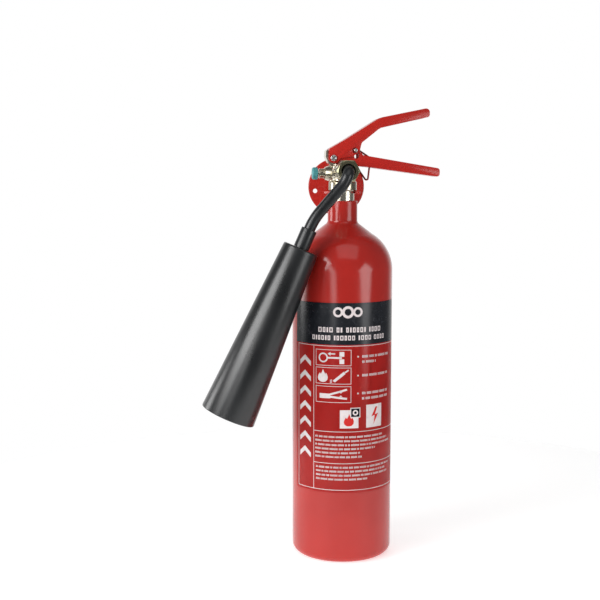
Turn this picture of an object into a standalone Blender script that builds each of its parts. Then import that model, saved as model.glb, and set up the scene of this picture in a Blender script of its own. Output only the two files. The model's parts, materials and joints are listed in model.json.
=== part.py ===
"""Portable CO2 fire extinguisher: cylinder, squeeze-grip valve, swivel horn and wall hook.

Metres, +Z up. The cylinder stands on Z = 0 with its axis on the Z axis. The two handles point
along +X, the outlet and the label face -Y, and the wall that the hook is screwed to is at +Y.
"""

import math

import bmesh
import bpy
from mathutils import Matrix, Vector

MM = 0.001
GAP = 0.3 * MM
X_AXIS = Vector((1, 0, 0))
Y_AXIS = Vector((0, 1, 0))
Z_AXIS = Vector((0, 0, 1))

# Cylinder
BODY_RADIUS = 54 * MM
BODY_WALL = 3.5 * MM
BODY_STEPS = 44
BASE_THICKNESS = 6 * MM
HEEL_RADIUS = 9 * MM
SHOULDER_HEIGHT = 311 * MM
DOME_RADIUS = 45 * MM
DOME_END_ANGLE = math.radians(60)
NECK_RADIUS = 16 * MM
NECK_FOOT_HEIGHT = 361.5 * MM
NECK_HEIGHT = 385 * MM
NECK_BORE_RADIUS = 12 * MM
SEAL_SEAT_RADIUS = 13.6 * MM
SEAL_SEAT_DEPTH = 2.5 * MM

# Label
LABEL_BOTTOM = 78 * MM
LABEL_TOP = 280 * MM
LABEL_HALF_ANGLE = math.radians(70.4)
LABEL_RADIUS = BODY_RADIUS + 0.15 * MM
LABEL_THICKNESS = 0.25 * MM
LABEL_STEPS = 20

# Valve body
SHANK_RADIUS = 11.6 * MM
SHANK_BOTTOM = 362 * MM
STUB_RADIUS = 12.5 * MM
FLANGE_RADIUS = 15.2 * MM
FLANGE_BOTTOM = 395.5 * MM
FLANGE_TOP = 405 * MM
CHEST_RADIUS = 13.3 * MM
CHEST_TOP = 425 * MM
SEAT_HEIGHT = 405 * MM
UPPER_BORE_BOTTOM = 411 * MM
UPPER_BORE_RADIUS = 5.2 * MM
LOWER_BORE_RADIUS = 6 * MM
PORT_RADIUS = 2.6 * MM

# Outlet, along -Y
OUTLET_HEIGHT = 416.4 * MM
OUTLET_BOSS_RADIUS = 11.5 * MM
OUTLET_BOSS_START = 12.6 * MM
OUTLET_BOSS_END = 28 * MM
OUTLET_ROOT_RADIUS = 8.2 * MM
SPIGOT_RADIUS = 9.2 * MM
SPIGOT_END = 32 * MM
NUT_ACROSS_FLATS = 22 * MM
NUT_FRONT = 43 * MM
NUT_LIP_RADIUS = 7 * MM

# Burst disc assembly, along -X
BURST_HEIGHT = 414.2 * MM
BURST_BOSS_RADIUS = 9.4 * MM
BURST_BOSS_END_RADIUS = 6.6 * MM
BURST_BOSS_END = 19.5 * MM
BURST_PLUG_RADIUS = 5.5 * MM
BURST_CAP_RADIUS = 6.6 * MM
BURST_CAP_END = 33.2 * MM
VENT_OFFSET = 22.7 * MM

# Handles: the lever turns about the pivot, and the safety pin locks it
PIVOT = Vector((-11.3 * MM, 0, 430.4 * MM))
LEVER_TRAVEL = math.radians(15)
PIVOT_HOLE_RADIUS = 2.6 * MM
EAR_HALF_WIDTH = 8.1 * MM
EAR_FRONT = -6.6 * MM
LEVER_HALF_WIDTH = 12 * MM
LEVER_SHEET = 1.5 * MM
HANDLE_HALF_WIDTH = 10.2 * MM
HANDLE_SHEET = 1.6 * MM
HANDLE_REACH = 104 * MM
LEVER_REACH = 92 * MM
PIN_CENTRE = Vector((12.2 * MM, 0, 438.5 * MM))
PIN_RADIUS = 2.1 * MM
PIN_CLEARANCE = 0.4 * MM
RING_PLANE = 16.5 * MM
RING_WIRE_RADIUS = 1 * MM

# Stem and closing spring
STEM_RADIUS = 2 * MM
STEM_HEAD_RADIUS = 3.2 * MM
STEM_HEAD_CENTRE = 443.4 * MM
SPRING_RADIUS = 4.2 * MM
SPRING_WIRE_RADIUS = 0.5 * MM
SPRING_BOTTOM = 378 * MM
SPRING_TOP = 395.7 * MM
SPRING_TURNS = 4

# Discharge tube and horn, in the plane Y = -HORN_PLANE
HORN_PLANE = 50 * MM
TUBE_RADIUS = 6 * MM
TUBE_WALL = 1.5 * MM
HORN_TOP = Vector((-50.5 * MM, -HORN_PLANE, 336.75 * MM))
HORN_TILT = math.radians(23.8)
HORN_LENGTH = 189.7 * MM
HORN_TOP_RADIUS = 18.65 * MM
HORN_MOUTH_RADIUS = 29.2 * MM
HORN_WALL = 2.2 * MM
HORN_CROWN = 4 * MM
COLLAR_RADIUS = 8.2 * MM
COLLAR_LENGTH = 21.6 * MM

# Wall hook
HOOK_PLATE_RADIUS = 31.6 * MM
HOOK_PLATE_X = 1.2 * MM
HOOK_PLATE_HEIGHT = 400 * MM
HOOK_PLATE_FRONT = 56 * MM
HOOK_SHEET = 2 * MM
HOOK_HOLES = 3
HOOK_HOLE_RADIUS = 2.5 * MM
HOOK_HOLE_CIRCLE = 24.5 * MM
HOOK_FIRST_HOLE = math.radians(191.5)
FORK_TOP = FLANGE_BOTTOM - GAP
FORK_SHEET = 2.5 * MM
FORK_INNER = 12.9 * MM
FORK_OUTER = 18.5 * MM
FORK_TIP = -11 * MM

RED = (0.50, 0.012, 0.012)
BRIGHT_RED = (0.60, 0.014, 0.012)
BLACK = (0.012, 0.013, 0.015)
BRASS = (0.46, 0.40, 0.24)
OLIVE_ZINC = (0.24, 0.23, 0.10)
STEEL = (0.55, 0.55, 0.54)
TEAL = (0.06, 0.28, 0.29)


# ---------------------------------------------------------------- scene and materials


def new_collection(name):
    collection = bpy.data.collections.new(name)
    bpy.context.scene.collection.children.link(collection)
    return collection


def clear_scene():
    for obj in list(bpy.data.objects):
        bpy.data.objects.remove(obj, do_unlink=True)


def make_material(name, colour, roughness, metallic=0.0):
    material = bpy.data.materials.new(name)
    material.use_nodes = True
    shader = material.node_tree.nodes["Principled BSDF"]
    shader.inputs["Base Color"].default_value = (*colour, 1)
    shader.inputs["Roughness"].default_value = roughness
    shader.inputs["Metallic"].default_value = metallic
    material.diffuse_color = (*colour, 1)
    return material


def add_part(obj, colour, roughness, metallic=0.0, parent=None):
    """Give a sub-part its own material, put it among the parts and hang it on its pivot."""
    obj.data.materials.clear()
    obj.data.materials.append(make_material(obj.name, colour, roughness, metallic))
    for collection in list(obj.users_collection):
        collection.objects.unlink(obj)
    PARTS.objects.link(obj)
    if parent is not None:
        obj.parent = parent
        obj.matrix_parent_inverse = Matrix.Translation(-parent.location)
    return obj


def pivot_empty(name, location, parent=None):
    """An empty on a joint's axis, which carries the pieces that move about it."""
    empty = bpy.data.objects.new(name, None)
    empty.empty_display_size = 10 * MM
    PARTS.objects.link(empty)
    empty.location = location
    if parent is not None:
        empty.parent = parent
        empty.matrix_parent_inverse = Matrix.Translation(-parent.location)
    return empty


# ---------------------------------------------------------------- shape helpers


def link_helper(obj):
    HELPERS.objects.link(obj)
    obj.hide_render = True
    obj.display_type = "WIRE"
    return obj


def show_as_part(obj):
    obj.hide_render = False
    obj.display_type = "TEXTURED"
    return obj


def aim(obj, origin, axis):
    """Put an object's local Z axis along a world axis, through a world point."""
    obj.rotation_mode = "QUATERNION"
    obj.rotation_quaternion = Z_AXIS.rotation_difference(Vector(axis))
    obj.location = origin


def rounded(corners, closed=True, steps=3):
    """Points along a line with rounded corners; a corner is its coordinates and its radius."""
    points = [Vector(corner[:-1]).to_3d() for corner in corners]
    rounded_points = []
    for index, corner in enumerate(corners):
        here = points[index]
        radius = corner[-1]
        is_end = not closed and index in (0, len(corners) - 1)
        if is_end or radius == 0:
            rounded_points.append(here)
            continue
        back = (points[index - 1] - here).normalized()
        ahead = (points[(index + 1) % len(points)] - here).normalized()
        half_angle = back.angle(ahead) / 2
        centre = here + (back + ahead).normalized() * radius / math.sin(half_angle)
        start = (here + back * radius / math.tan(half_angle) - centre).normalized()
        end = (here + ahead * radius / math.tan(half_angle) - centre).normalized()
        for step in range(steps + 1):
            rounded_points.append(centre + radius * start.slerp(end, step / steps))
    return rounded_points


def circle(radius, centre=(0, 0), steps=32):
    turns = [2 * math.pi * step / steps for step in range(steps)]
    return [Vector((centre[0] + radius * math.cos(a), centre[1] + radius * math.sin(a), 0)) for a in turns]


def curve_object(name, dimensions, lines, cyclic):
    curve = bpy.data.curves.new(name, "CURVE")
    curve.dimensions = dimensions
    for points in lines:
        spline = curve.splines.new("POLY")
        spline.points.add(len(points) - 1)
        for spline_point, point in zip(spline.points, points):
            spline_point.co = (*point, 1)
        spline.use_cyclic_u = cyclic
    return link_helper(bpy.data.objects.new(name, curve))


def to_mesh(curve_obj):
    """Replace a curve object by its evaluated mesh, with the caps welded on."""
    bpy.context.view_layer.update()
    name = curve_obj.name
    evaluated = curve_obj.evaluated_get(bpy.context.evaluated_depsgraph_get())
    mesh = bpy.data.meshes.new_from_object(evaluated)
    shape = bmesh.new()
    shape.from_mesh(mesh)
    bmesh.ops.remove_doubles(shape, verts=shape.verts, dist=1e-6)
    bmesh.ops.recalc_face_normals(shape, faces=shape.faces)
    shape.to_mesh(mesh)
    shape.free()
    placement = curve_obj.matrix_world.copy()
    bpy.data.objects.remove(curve_obj, do_unlink=True)
    obj = bpy.data.objects.new(name, mesh)
    obj.name = name
    obj.matrix_world = placement
    return link_helper(obj)


def sheet(name, outlines, thickness):
    """A flat sheet in its local XY plane: the first outline is its edge, the rest are holes."""
    obj = curve_object(name, "2D", outlines, cyclic=True)
    obj.data.fill_mode = "BOTH"
    obj.data.extrude = thickness / 2
    return obj


def side_sheet(name, outlines, thickness, middle=0.0):
    """A sheet whose outline is drawn in the XZ plane and whose thickness runs along Y."""
    obj = sheet(name, outlines, thickness)
    obj.rotation_euler = (math.radians(90), 0, 0)
    obj.location = (0, middle, 0)
    return to_mesh(obj)


def turned(name, profile, origin=(0, 0, 0), axis=Z_AXIS, steps=24, sweep=2 * math.pi):
    """Turn a profile of (radius, height) points, listed down its outer side, about an axis.

    A profile that meets the axis is solid there. Any other is closed into a ring.
    """
    mesh = bpy.data.meshes.new(name)
    vertices = [(radius, 0, height) for radius, height in profile]
    edges = [(index, index + 1) for index in range(len(profile) - 1)]
    if len(profile) > 2:
        edges.append((len(profile) - 1, 0))
    off_axis = [edge for edge in edges if profile[edge[0]][0] > 0 or profile[edge[1]][0] > 0]
    mesh.from_pydata(vertices, off_axis, [])
    obj = link_helper(bpy.data.objects.new(name, mesh))
    screw = obj.modifiers.new("Turn", "SCREW")
    screw.angle = sweep
    screw.steps = steps
    screw.render_steps = steps
    screw.use_merge_vertices = True
    screw.merge_threshold = 0.00001
    screw.use_smooth_shade = True
    aim(obj, origin, axis)
    return obj


def rod(name, radius, start, end, axis=Z_AXIS, origin=(0, 0, 0), steps=24):
    """A plain cylinder between two distances along an axis."""
    profile = [(0, end), (radius, end), (radius, start), (0, start)]
    return turned(name, profile, origin, axis, steps)


def hexagon(name, across_flats, start, end, axis=Z_AXIS, origin=(0, 0, 0), spin=0.0):
    """A hexagonal prism between two distances along an axis, with lightly broken edges."""
    mesh = bpy.data.meshes.new(name)
    shape = bmesh.new()
    corner_radius = across_flats / 2 / math.cos(math.radians(30))
    spun = Matrix.Translation((0, 0, (start + end) / 2)) @ Matrix.Rotation(spin, 4, "Z")
    bmesh.ops.create_cone(
        shape,
        cap_ends=True,
        segments=6,
        radius1=corner_radius,
        radius2=corner_radius,
        depth=end - start,
        matrix=spun,
    )
    shape.to_mesh(mesh)
    shape.free()
    obj = link_helper(bpy.data.objects.new(name, mesh))
    aim(obj, origin, axis)
    soften(obj, 0.4 * MM, segments=1)
    return obj


def box(name, low, high):
    """A box between two opposite corners."""
    mesh = bpy.data.meshes.new(name)
    shape = bmesh.new()
    low = Vector(low)
    high = Vector(high)
    bmesh.ops.create_cube(shape, size=1)
    bmesh.ops.scale(shape, vec=high - low, verts=shape.verts)
    bmesh.ops.translate(shape, vec=(low + high) / 2, verts=shape.verts)
    shape.to_mesh(mesh)
    shape.free()
    return link_helper(bpy.data.objects.new(name, mesh))


def combine(obj, others, operation):
    for other in others:
        boolean = obj.modifiers.new(other.name, "BOOLEAN")
        boolean.operation = operation
        boolean.object = other
        boolean.solver = "EXACT"


def cut(obj, *cutters):
    combine(obj, cutters, "DIFFERENCE")


def join(obj, *additions):
    combine(obj, additions, "UNION")


def soften(obj, width, segments=2):
    bevel = obj.modifiers.new("Soften", "BEVEL")
    bevel.width = width
    bevel.segments = segments
    bevel.limit_method = "ANGLE"
    bevel.angle_limit = math.radians(40)


def torus(name, ring_radius, wire_radius, height, origin=(0, 0, 0), axis=Z_AXIS):
    """A round seal ring: a circle of the wire's section turned about the axis."""
    sections = 6
    angles = [-2 * math.pi * section / sections for section in range(sections)]
    profile = [
        (ring_radius + wire_radius * math.cos(a), height + wire_radius * math.sin(a)) for a in angles
    ]
    return turned(name, profile, origin, axis, steps=20)


def arc(centre, radius, start, end, steps):
    """(radius, height) points along an arc, with angles measured from the outward direction."""
    angles = [start + (end - start) * step / steps for step in range(steps + 1)]
    return [(centre[0] + radius * math.cos(a), centre[1] + radius * math.sin(a)) for a in angles]


# ---------------------------------------------------------------- cylinder and label


def dome_profile(wall):
    """The shoulder from its cone to the straight wall, moved inwards by a wall thickness."""
    centre = (BODY_RADIUS - DOME_RADIUS, SHOULDER_HEIGHT)
    return arc(centre, DOME_RADIUS - wall, DOME_END_ANGLE, 0, steps=4)


def make_cylinder():
    outer = [
        (NECK_RADIUS - 1 * MM, NECK_HEIGHT),
        (NECK_RADIUS, NECK_HEIGHT - 1 * MM),
        (NECK_RADIUS, NECK_FOOT_HEIGHT),
        (NECK_RADIUS + 0.9 * MM, NECK_FOOT_HEIGHT - 2.2 * MM),
        (NECK_RADIUS + 2.6 * MM, NECK_FOOT_HEIGHT - 4 * MM),
    ]
    outer += dome_profile(0)
    heel_centre = (BODY_RADIUS - HEEL_RADIUS, HEEL_RADIUS)
    outer += arc(heel_centre, HEEL_RADIUS, 0, -math.pi / 2, steps=4)
    inner_heel = HEEL_RADIUS - BODY_WALL
    inner = arc((BODY_RADIUS - HEEL_RADIUS, BASE_THICKNESS + inner_heel), inner_heel, -math.pi / 2, 0, steps=2)
    inner += reversed(dome_profile(BODY_WALL))
    seat_bottom = NECK_HEIGHT - SEAL_SEAT_DEPTH
    inner += [
        (NECK_BORE_RADIUS, NECK_FOOT_HEIGHT - 5 * MM),
        (NECK_BORE_RADIUS, seat_bottom),
        (SEAL_SEAT_RADIUS, seat_bottom),
        (SEAL_SEAT_RADIUS, NECK_HEIGHT),
    ]
    profile = outer + [(0, 0), (0, BASE_THICKNESS)] + inner
    shell = turned("cylinder", profile, steps=BODY_STEPS)
    add_part(show_as_part(shell), RED, 0.22)


def make_label():
    """A thin wrap of the front, from its bare surface."""
    edge = [(LABEL_RADIUS, LABEL_TOP), (LABEL_RADIUS, LABEL_BOTTOM)]
    label = turned("label", edge, steps=LABEL_STEPS, sweep=2 * LABEL_HALF_ANGLE)
    label.rotation_mode = "XYZ"
    label.rotation_euler = (0, 0, -math.pi / 2 - LABEL_HALF_ANGLE)
    thickness = label.modifiers.new("Thickness", "SOLIDIFY")
    thickness.thickness = LABEL_THICKNESS
    thickness.offset = 1
    add_part(show_as_part(label), RED, 0.3)


# ---------------------------------------------------------------- valve


def make_valve_body():
    core = [
        (0, CHEST_TOP),
        (CHEST_RADIUS - 1 * MM, CHEST_TOP),
        (CHEST_RADIUS, CHEST_TOP - 1 * MM),
        (CHEST_RADIUS, FLANGE_TOP + 1.5 * MM),
        (FLANGE_RADIUS, FLANGE_TOP),
        (FLANGE_RADIUS, FLANGE_BOTTOM + 1 * MM),
        (FLANGE_RADIUS - 1 * MM, FLANGE_BOTTOM),
        (STUB_RADIUS, FLANGE_BOTTOM),
        (STUB_RADIUS, NECK_HEIGHT + GAP),
        (SHANK_RADIUS, NECK_HEIGHT + GAP),
        (SHANK_RADIUS, SHANK_BOTTOM + 1 * MM),
        (SHANK_RADIUS - 1 * MM, SHANK_BOTTOM),
        (0, SHANK_BOTTOM),
    ]
    body = turned("valve_body", core, steps=30)
    join(body, *valve_bosses())
    cut(body, *valve_bores())
    add_part(show_as_part(body), BRASS, 0.35, 0.9)


def valve_bosses():
    outlet = [
        (0, SPIGOT_END),
        (SPIGOT_RADIUS - 0.8 * MM, SPIGOT_END),
        (SPIGOT_RADIUS, SPIGOT_END - 0.8 * MM),
        (SPIGOT_RADIUS, OUTLET_BOSS_END),
        (OUTLET_BOSS_RADIUS - 1 * MM, OUTLET_BOSS_END),
        (OUTLET_BOSS_RADIUS, OUTLET_BOSS_END - 1 * MM),
        (OUTLET_BOSS_RADIUS, OUTLET_BOSS_START + 1 * MM),
        (OUTLET_ROOT_RADIUS, OUTLET_BOSS_START),
        (OUTLET_ROOT_RADIUS, 7 * MM),
        (0, 7 * MM),
    ]
    burst = [
        (0, BURST_BOSS_END),
        (BURST_BOSS_END_RADIUS, BURST_BOSS_END),
        (BURST_BOSS_RADIUS, 12.5 * MM),
        (BURST_BOSS_RADIUS, 7 * MM),
        (0, 7 * MM),
    ]
    # The ear stays under the lever's web and stands up a little behind its rear edge.
    ear_outline = [
        (-12 * MM, 421.3 * MM, 0),
        (EAR_FRONT, 421.3 * MM, 0),
        (EAR_FRONT, 438 * MM, 2 * MM),
        (-13.2 * MM, 438.6 * MM, 1.5 * MM),
        (-16.8 * MM, 436.6 * MM, 0.4 * MM),
        (-16.9 * MM, 440 * MM, 0.5 * MM),
        (-18.9 * MM, 438 * MM, 1.5 * MM),
        (-19.3 * MM, 431.5 * MM, 5 * MM),
        (-15.8 * MM, 424.5 * MM, 3 * MM),
    ]
    ear = side_sheet("ear", [rounded(ear_outline)], 2 * EAR_HALF_WIDTH)
    return [
        turned("outlet_boss", outlet, (0, 0, OUTLET_HEIGHT), -Y_AXIS, steps=26),
        turned("burst_boss", burst, (0, 0, BURST_HEIGHT), -X_AXIS, steps=24),
        ear,
    ]


def valve_bores():
    """The drilled passages: stem bore over seat chamber, outlet, burst disc seat and its feed."""
    past = 1 * MM
    feed_offset = 8.85 * MM
    stem_bore = [
        (0, CHEST_TOP + past),
        (UPPER_BORE_RADIUS, CHEST_TOP + past),
        (UPPER_BORE_RADIUS, UPPER_BORE_BOTTOM),
        (PORT_RADIUS, UPPER_BORE_BOTTOM),
        (PORT_RADIUS, SEAT_HEIGHT),
        (LOWER_BORE_RADIUS, SEAT_HEIGHT),
        (LOWER_BORE_RADIUS, SHANK_BOTTOM - past),
        (0, SHANK_BOTTOM - past),
    ]
    burst_seat = [
        (0, BURST_BOSS_END + past),
        (4.7 * MM, BURST_BOSS_END + past),
        (4.7 * MM, 13.5 * MM),
        (2.4 * MM, 13.5 * MM),
        (2.4 * MM, 8.3 * MM),
        (0, 8.3 * MM),
    ]
    return [
        turned("stem_bore", stem_bore, steps=26),
        turned("burst_seat", burst_seat, (0, 0, BURST_HEIGHT), -X_AXIS, 22),
        rod("outlet_bore", 3.2 * MM, 0, SPIGOT_END + past, -Y_AXIS, (0, 0, OUTLET_HEIGHT), 18),
        rod("burst_feed", 1.3 * MM, SHANK_BOTTOM - past, BURST_HEIGHT, Z_AXIS, (-feed_offset, 0, 0), 10),
        rod("ear_hole", PIVOT_HOLE_RADIUS, -20 * MM, 20 * MM, Y_AXIS, PIVOT, 20),
    ]


def make_neck_seal():
    seal_height = NECK_HEIGHT - SEAL_SEAT_DEPTH / 2
    seal = torus("neck_seal_ring", 12.6 * MM, 0.7 * MM, seal_height)
    add_part(show_as_part(seal), BLACK, 0.6)


def make_gland():
    """The gland nut clamps the carry handle on the chest and closes the stem bore."""
    nut = hexagon("gland_nut", 12 * MM, 427.4 * MM, 433.4 * MM)
    join(nut, rod("gland_thread", 4.9 * MM, 420 * MM, 428 * MM, steps=24))
    cut(nut, rod("gland_bore", 2.4 * MM, 410 * MM, 440 * MM, steps=20))
    add_part(show_as_part(nut), BRASS, 0.35, 0.9)
    packing = torus("stem_packing_ring", 3.35 * MM, 0.95 * MM, 418.7 * MM)
    add_part(show_as_part(packing), BLACK, 0.6)


def make_burst_assembly():
    origin = (0, 0, BURST_HEIGHT)
    disc = rod("burst_disc", 4.3 * MM, 13.8 * MM, 14.1 * MM, -X_AXIS, origin, 24)
    add_part(show_as_part(disc), STEEL, 0.3, 1.0)
    washer_profile = [(4.3 * MM, 15.4 * MM), (4.3 * MM, 14.4 * MM), (2.4 * MM, 14.4 * MM), (2.4 * MM, 15.4 * MM)]
    washer = turned("burst_washer", washer_profile, origin, -X_AXIS, 24)
    add_part(show_as_part(washer), STEEL, 0.4, 1.0)
    plug_profile = [
        (0, 30 * MM),
        (2.3 * MM, 30 * MM),
        (2.3 * MM, 25.7 * MM),
        (BURST_PLUG_RADIUS - 0.6 * MM, 25.7 * MM),
        (BURST_PLUG_RADIUS, 25.1 * MM),
        (BURST_PLUG_RADIUS, 19.8 * MM),
        (4.3 * MM, 19.8 * MM),
        (4.3 * MM, 15.7 * MM),
        (0, 15.7 * MM),
    ]
    plug = turned("burst_plug", plug_profile, origin, -X_AXIS, 30)
    vent_origin = (-VENT_OFFSET, 0, BURST_HEIGHT)
    cut(
        plug,
        rod("plug_bore", 1.7 * MM, 14 * MM, 23 * MM, -X_AXIS, origin, 16),
        rod("plug_vent", 2 * MM, -8 * MM, 1 * MM, Y_AXIS, vent_origin, 20),
    )
    add_part(show_as_part(plug), BRASS, 0.35, 0.9)
    cap_profile = [
        (0, BURST_CAP_END),
        (BURST_CAP_RADIUS - 1.2 * MM, BURST_CAP_END),
        (BURST_CAP_RADIUS, BURST_CAP_END - 1.2 * MM),
        (BURST_CAP_RADIUS, 27.8 * MM),
        (BURST_CAP_RADIUS - 0.6 * MM, 27.2 * MM),
        (2.6 * MM, 27.2 * MM),
        (2.6 * MM, 30.4 * MM),
        (0, 30.4 * MM),
    ]
    cap = turned("burst_cap", cap_profile, origin, -X_AXIS, 30)
    add_part(show_as_part(cap), TEAL, 0.45)


def make_lower_valve():
    """The plug that holds the closing spring, and the dip tube that hangs on it."""
    plug_profile = [
        (5.7 * MM, 377.6 * MM),
        (5.7 * MM, 368 * MM),
        (3.9 * MM, 368 * MM),
        (3.9 * MM, 360 * MM),
        (2.4 * MM, 360 * MM),
        (2.4 * MM, 377.6 * MM),
    ]
    plug = turned("spring_seat", plug_profile, steps=28)
    add_part(show_as_part(plug), BRASS, 0.4, 0.9)
    tube_profile = [(5 * MM, 367.7 * MM), (5 * MM, 12 * MM), (4.2 * MM, 12 * MM), (4.2 * MM, 367.7 * MM)]
    tube = turned("dip_tube", tube_profile, steps=24)
    add_part(show_as_part(tube), STEEL, 0.4, 1.0)


def make_stem():
    stem_pivot = pivot_empty("stem_slide", (0, 0, SEAT_HEIGHT))
    dome = arc((0, STEM_HEAD_CENTRE), STEM_HEAD_RADIUS, math.pi / 2, 0, steps=5)
    dome[0] = (0, STEM_HEAD_CENTRE + STEM_HEAD_RADIUS)
    profile = dome + [
        (STEM_HEAD_RADIUS, 440 * MM),
        (STEM_RADIUS, 440 * MM),
        (STEM_RADIUS, 417.4 * MM),
        (4.4 * MM, 417.4 * MM),
        (4.4 * MM, 416.2 * MM),
        (STEM_RADIUS, 416.2 * MM),
        (STEM_RADIUS, SEAT_HEIGHT),
        (0, SEAT_HEIGHT),
    ]
    add_part(show_as_part(turned("valve_stem", profile, steps=24)), STEEL, 0.3, 1.0, stem_pivot)
    disc = rod("seat_disc", 4.6 * MM, 401.5 * MM, SEAT_HEIGHT - GAP, steps=24)
    add_part(show_as_part(disc), (0.75, 0.73, 0.66), 0.5, 0.0, stem_pivot)
    carrier_profile = [
        (0, 401.2 * MM),
        (5.5 * MM, 401.2 * MM),
        (5.5 * MM, 396 * MM),
        (3.2 * MM, 396 * MM),
        (3.2 * MM, 391 * MM),
        (0, 391 * MM),
    ]
    add_part(show_as_part(turned("seat_carrier", carrier_profile, steps=24)), BRASS, 0.35, 0.9, stem_pivot)
    make_spring(stem_pivot)


def make_spring(stem_pivot):
    points_per_turn = 10
    low = SPRING_BOTTOM + SPRING_WIRE_RADIUS
    rise = SPRING_TOP - SPRING_BOTTOM - 2 * SPRING_WIRE_RADIUS
    count = SPRING_TURNS * points_per_turn
    points = []
    for index in range(count + 1):
        turn = 2 * math.pi * index / points_per_turn
        height = low + rise * index / count
        points.append(Vector((SPRING_RADIUS * math.cos(turn), SPRING_RADIUS * math.sin(turn), height)))
    spring = curve_object("closing_spring", "3D", [points], cyclic=False)
    spring.data.bevel_depth = SPRING_WIRE_RADIUS
    spring.data.bevel_resolution = 1
    spring.data.use_fill_caps = True
    add_part(show_as_part(spring), STEEL, 0.3, 1.0, stem_pivot)


# ---------------------------------------------------------------- handles and safety pin


def slot_outline():
    """The path that the safety pin sweeps through the handle as the lever turns."""
    arm = PIN_CENTRE - PIVOT
    reach = math.hypot(arm.x, arm.z)
    start = math.atan2(arm.z, arm.x)
    end = start - LEVER_TRAVEL
    half_width = PIN_RADIUS + PIN_CLEARANCE
    steps = 6
    centre = Vector((PIVOT.x, PIVOT.z, 0))
    points = []
    for radius, first, last in ((reach + half_width, end, start), (reach - half_width, start, end)):
        for step in range(steps + 1):
            turn = first + (last - first) * step / steps
            points.append(centre + radius * Vector((math.cos(turn), math.sin(turn), 0)))
        cap_centre = centre + reach * Vector((math.cos(last), math.sin(last), 0))
        sense = 0 if last == start else math.pi
        for step in range(1, steps):
            turn = last + sense + math.pi * step / steps
            points.append(cap_centre + half_width * Vector((math.cos(turn), math.sin(turn), 0)))
    return points


def handle_underside():
    """The bottom edge of the carry handle, from its clamped web to its tip, as (x, z, radius)."""
    return [
        (13.5 * MM, 425.3 * MM, 1 * MM),
        (17.2 * MM, 422.1 * MM, 1 * MM),
        (HANDLE_REACH, 410.5 * MM, 3 * MM),
    ]


def make_carry_handle():
    """A pressed channel, open at the top: its web lies on the chest and its sides hold the pivot."""
    rear = PIVOT.x - 5.1 * MM
    outline = [
        (rear, 425.3 * MM, 5 * MM),
        *handle_underside(),
        (HANDLE_REACH, 419.6 * MM, 3 * MM),
        (20.3 * MM, 433.6 * MM, 1 * MM),
        (18.7 * MM, 436.2 * MM, 0.6 * MM),
        (17.3 * MM, 436.2 * MM, 0.3 * MM),
        (16.9 * MM, 443 * MM, 2.5 * MM),
        (7.4 * MM, 443 * MM, 2.5 * MM),
        (5.5 * MM, 435.6 * MM, 2 * MM),
        (rear, 435.6 * MM, 5 * MM),
    ]
    handle = side_sheet("carry_handle", [rounded(outline)], 2 * HANDLE_HALF_WIDTH)
    web_top = 425.3 * MM + HANDLE_SHEET
    trough = [
        (-30 * MM, 415 * MM, 0),
        (EAR_FRONT + GAP, 415 * MM, 0),
        (EAR_FRONT + GAP, web_top, 0),
        (14.2 * MM, web_top, 0.5 * MM),
        (17.9 * MM, 423.7 * MM, 0.5 * MM),
        (HANDLE_REACH - HANDLE_SHEET, 412.3 * MM, 1 * MM),
        (HANDLE_REACH - HANDLE_SHEET, 460 * MM, 0),
        (-30 * MM, 460 * MM, 0),
    ]
    inner_width = 2 * (HANDLE_HALF_WIDTH - HANDLE_SHEET)
    cut(
        handle,
        side_sheet("handle_trough", [rounded(trough)], inner_width),
        side_sheet("handle_slot", [slot_outline()], 60 * MM),
        rod("handle_pivot_hole", PIVOT_HOLE_RADIUS, -20 * MM, 20 * MM, Y_AXIS, PIVOT, 24),
        rod("gland_hole", 5.3 * MM, 420 * MM, 430 * MM, steps=28),
    )
    add_part(show_as_part(handle), BRIGHT_RED, 0.28)


def make_lever():
    """A pressed channel, open at the bottom, that pivots at its rear and presses the stem."""
    lever_pivot = pivot_empty("lever_squeeze", PIVOT)
    rear = PIVOT.x - 5.2 * MM
    outline = [
        (rear, 425.2 * MM, 5 * MM),
        (-7 * MM, 425.2 * MM, 3 * MM),
        (-4.8 * MM, 429.9 * MM, 1.5 * MM),
        (9.3 * MM, 432.3 * MM, 1 * MM),
        (16.5 * MM, 436.8 * MM, 0.8 * MM),
        (17.8 * MM, 443.1 * MM, 1.5 * MM),
        (18.9 * MM, 446.7 * MM, 2 * MM),
        (38.5 * MM, 462.3 * MM, 15 * MM),
        (LEVER_REACH, 474.4 * MM, 3 * MM),
        (LEVER_REACH, 484 * MM, 4 * MM),
        (38 * MM, 473 * MM, 20 * MM),
        (1.2 * MM, 450 * MM, 30 * MM),
        (-15.3 * MM, 440.5 * MM, 1 * MM),
        (rear, 438 * MM, 1 * MM),
    ]
    lever = side_sheet("operating_lever", [rounded(outline)], 2 * LEVER_HALF_WIDTH)
    # The underside of the web: the top edge of the outline, moved in by the sheet's thickness.
    hollow = [
        (-40 * MM, 424.5 * MM, 0),
        (1.2 * MM, 448.2 * MM, 30 * MM),
        (38.3 * MM, 471.4 * MM, 19 * MM),
        (LEVER_REACH + 10 * MM, 484.5 * MM, 0),
        (LEVER_REACH + 10 * MM, 400 * MM, 0),
        (-40 * MM, 400 * MM, 0),
    ]
    inner_width = 2 * (LEVER_HALF_WIDTH - LEVER_SHEET)
    hole_centre = Vector((11.5 * MM, 0, PIN_CENTRE.z))
    cut(
        lever,
        side_sheet("lever_hollow", [rounded(hollow)], inner_width),
        rod("lever_pivot_hole", PIVOT_HOLE_RADIUS, -20 * MM, 20 * MM, Y_AXIS, PIVOT, 24),
        rod("lever_pin_hole", 3.1 * MM, -20 * MM, 20 * MM, Y_AXIS, hole_centre, 24),
    )
    add_part(show_as_part(lever), BRIGHT_RED, 0.28, parent=lever_pivot)
    return lever_pivot


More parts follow.
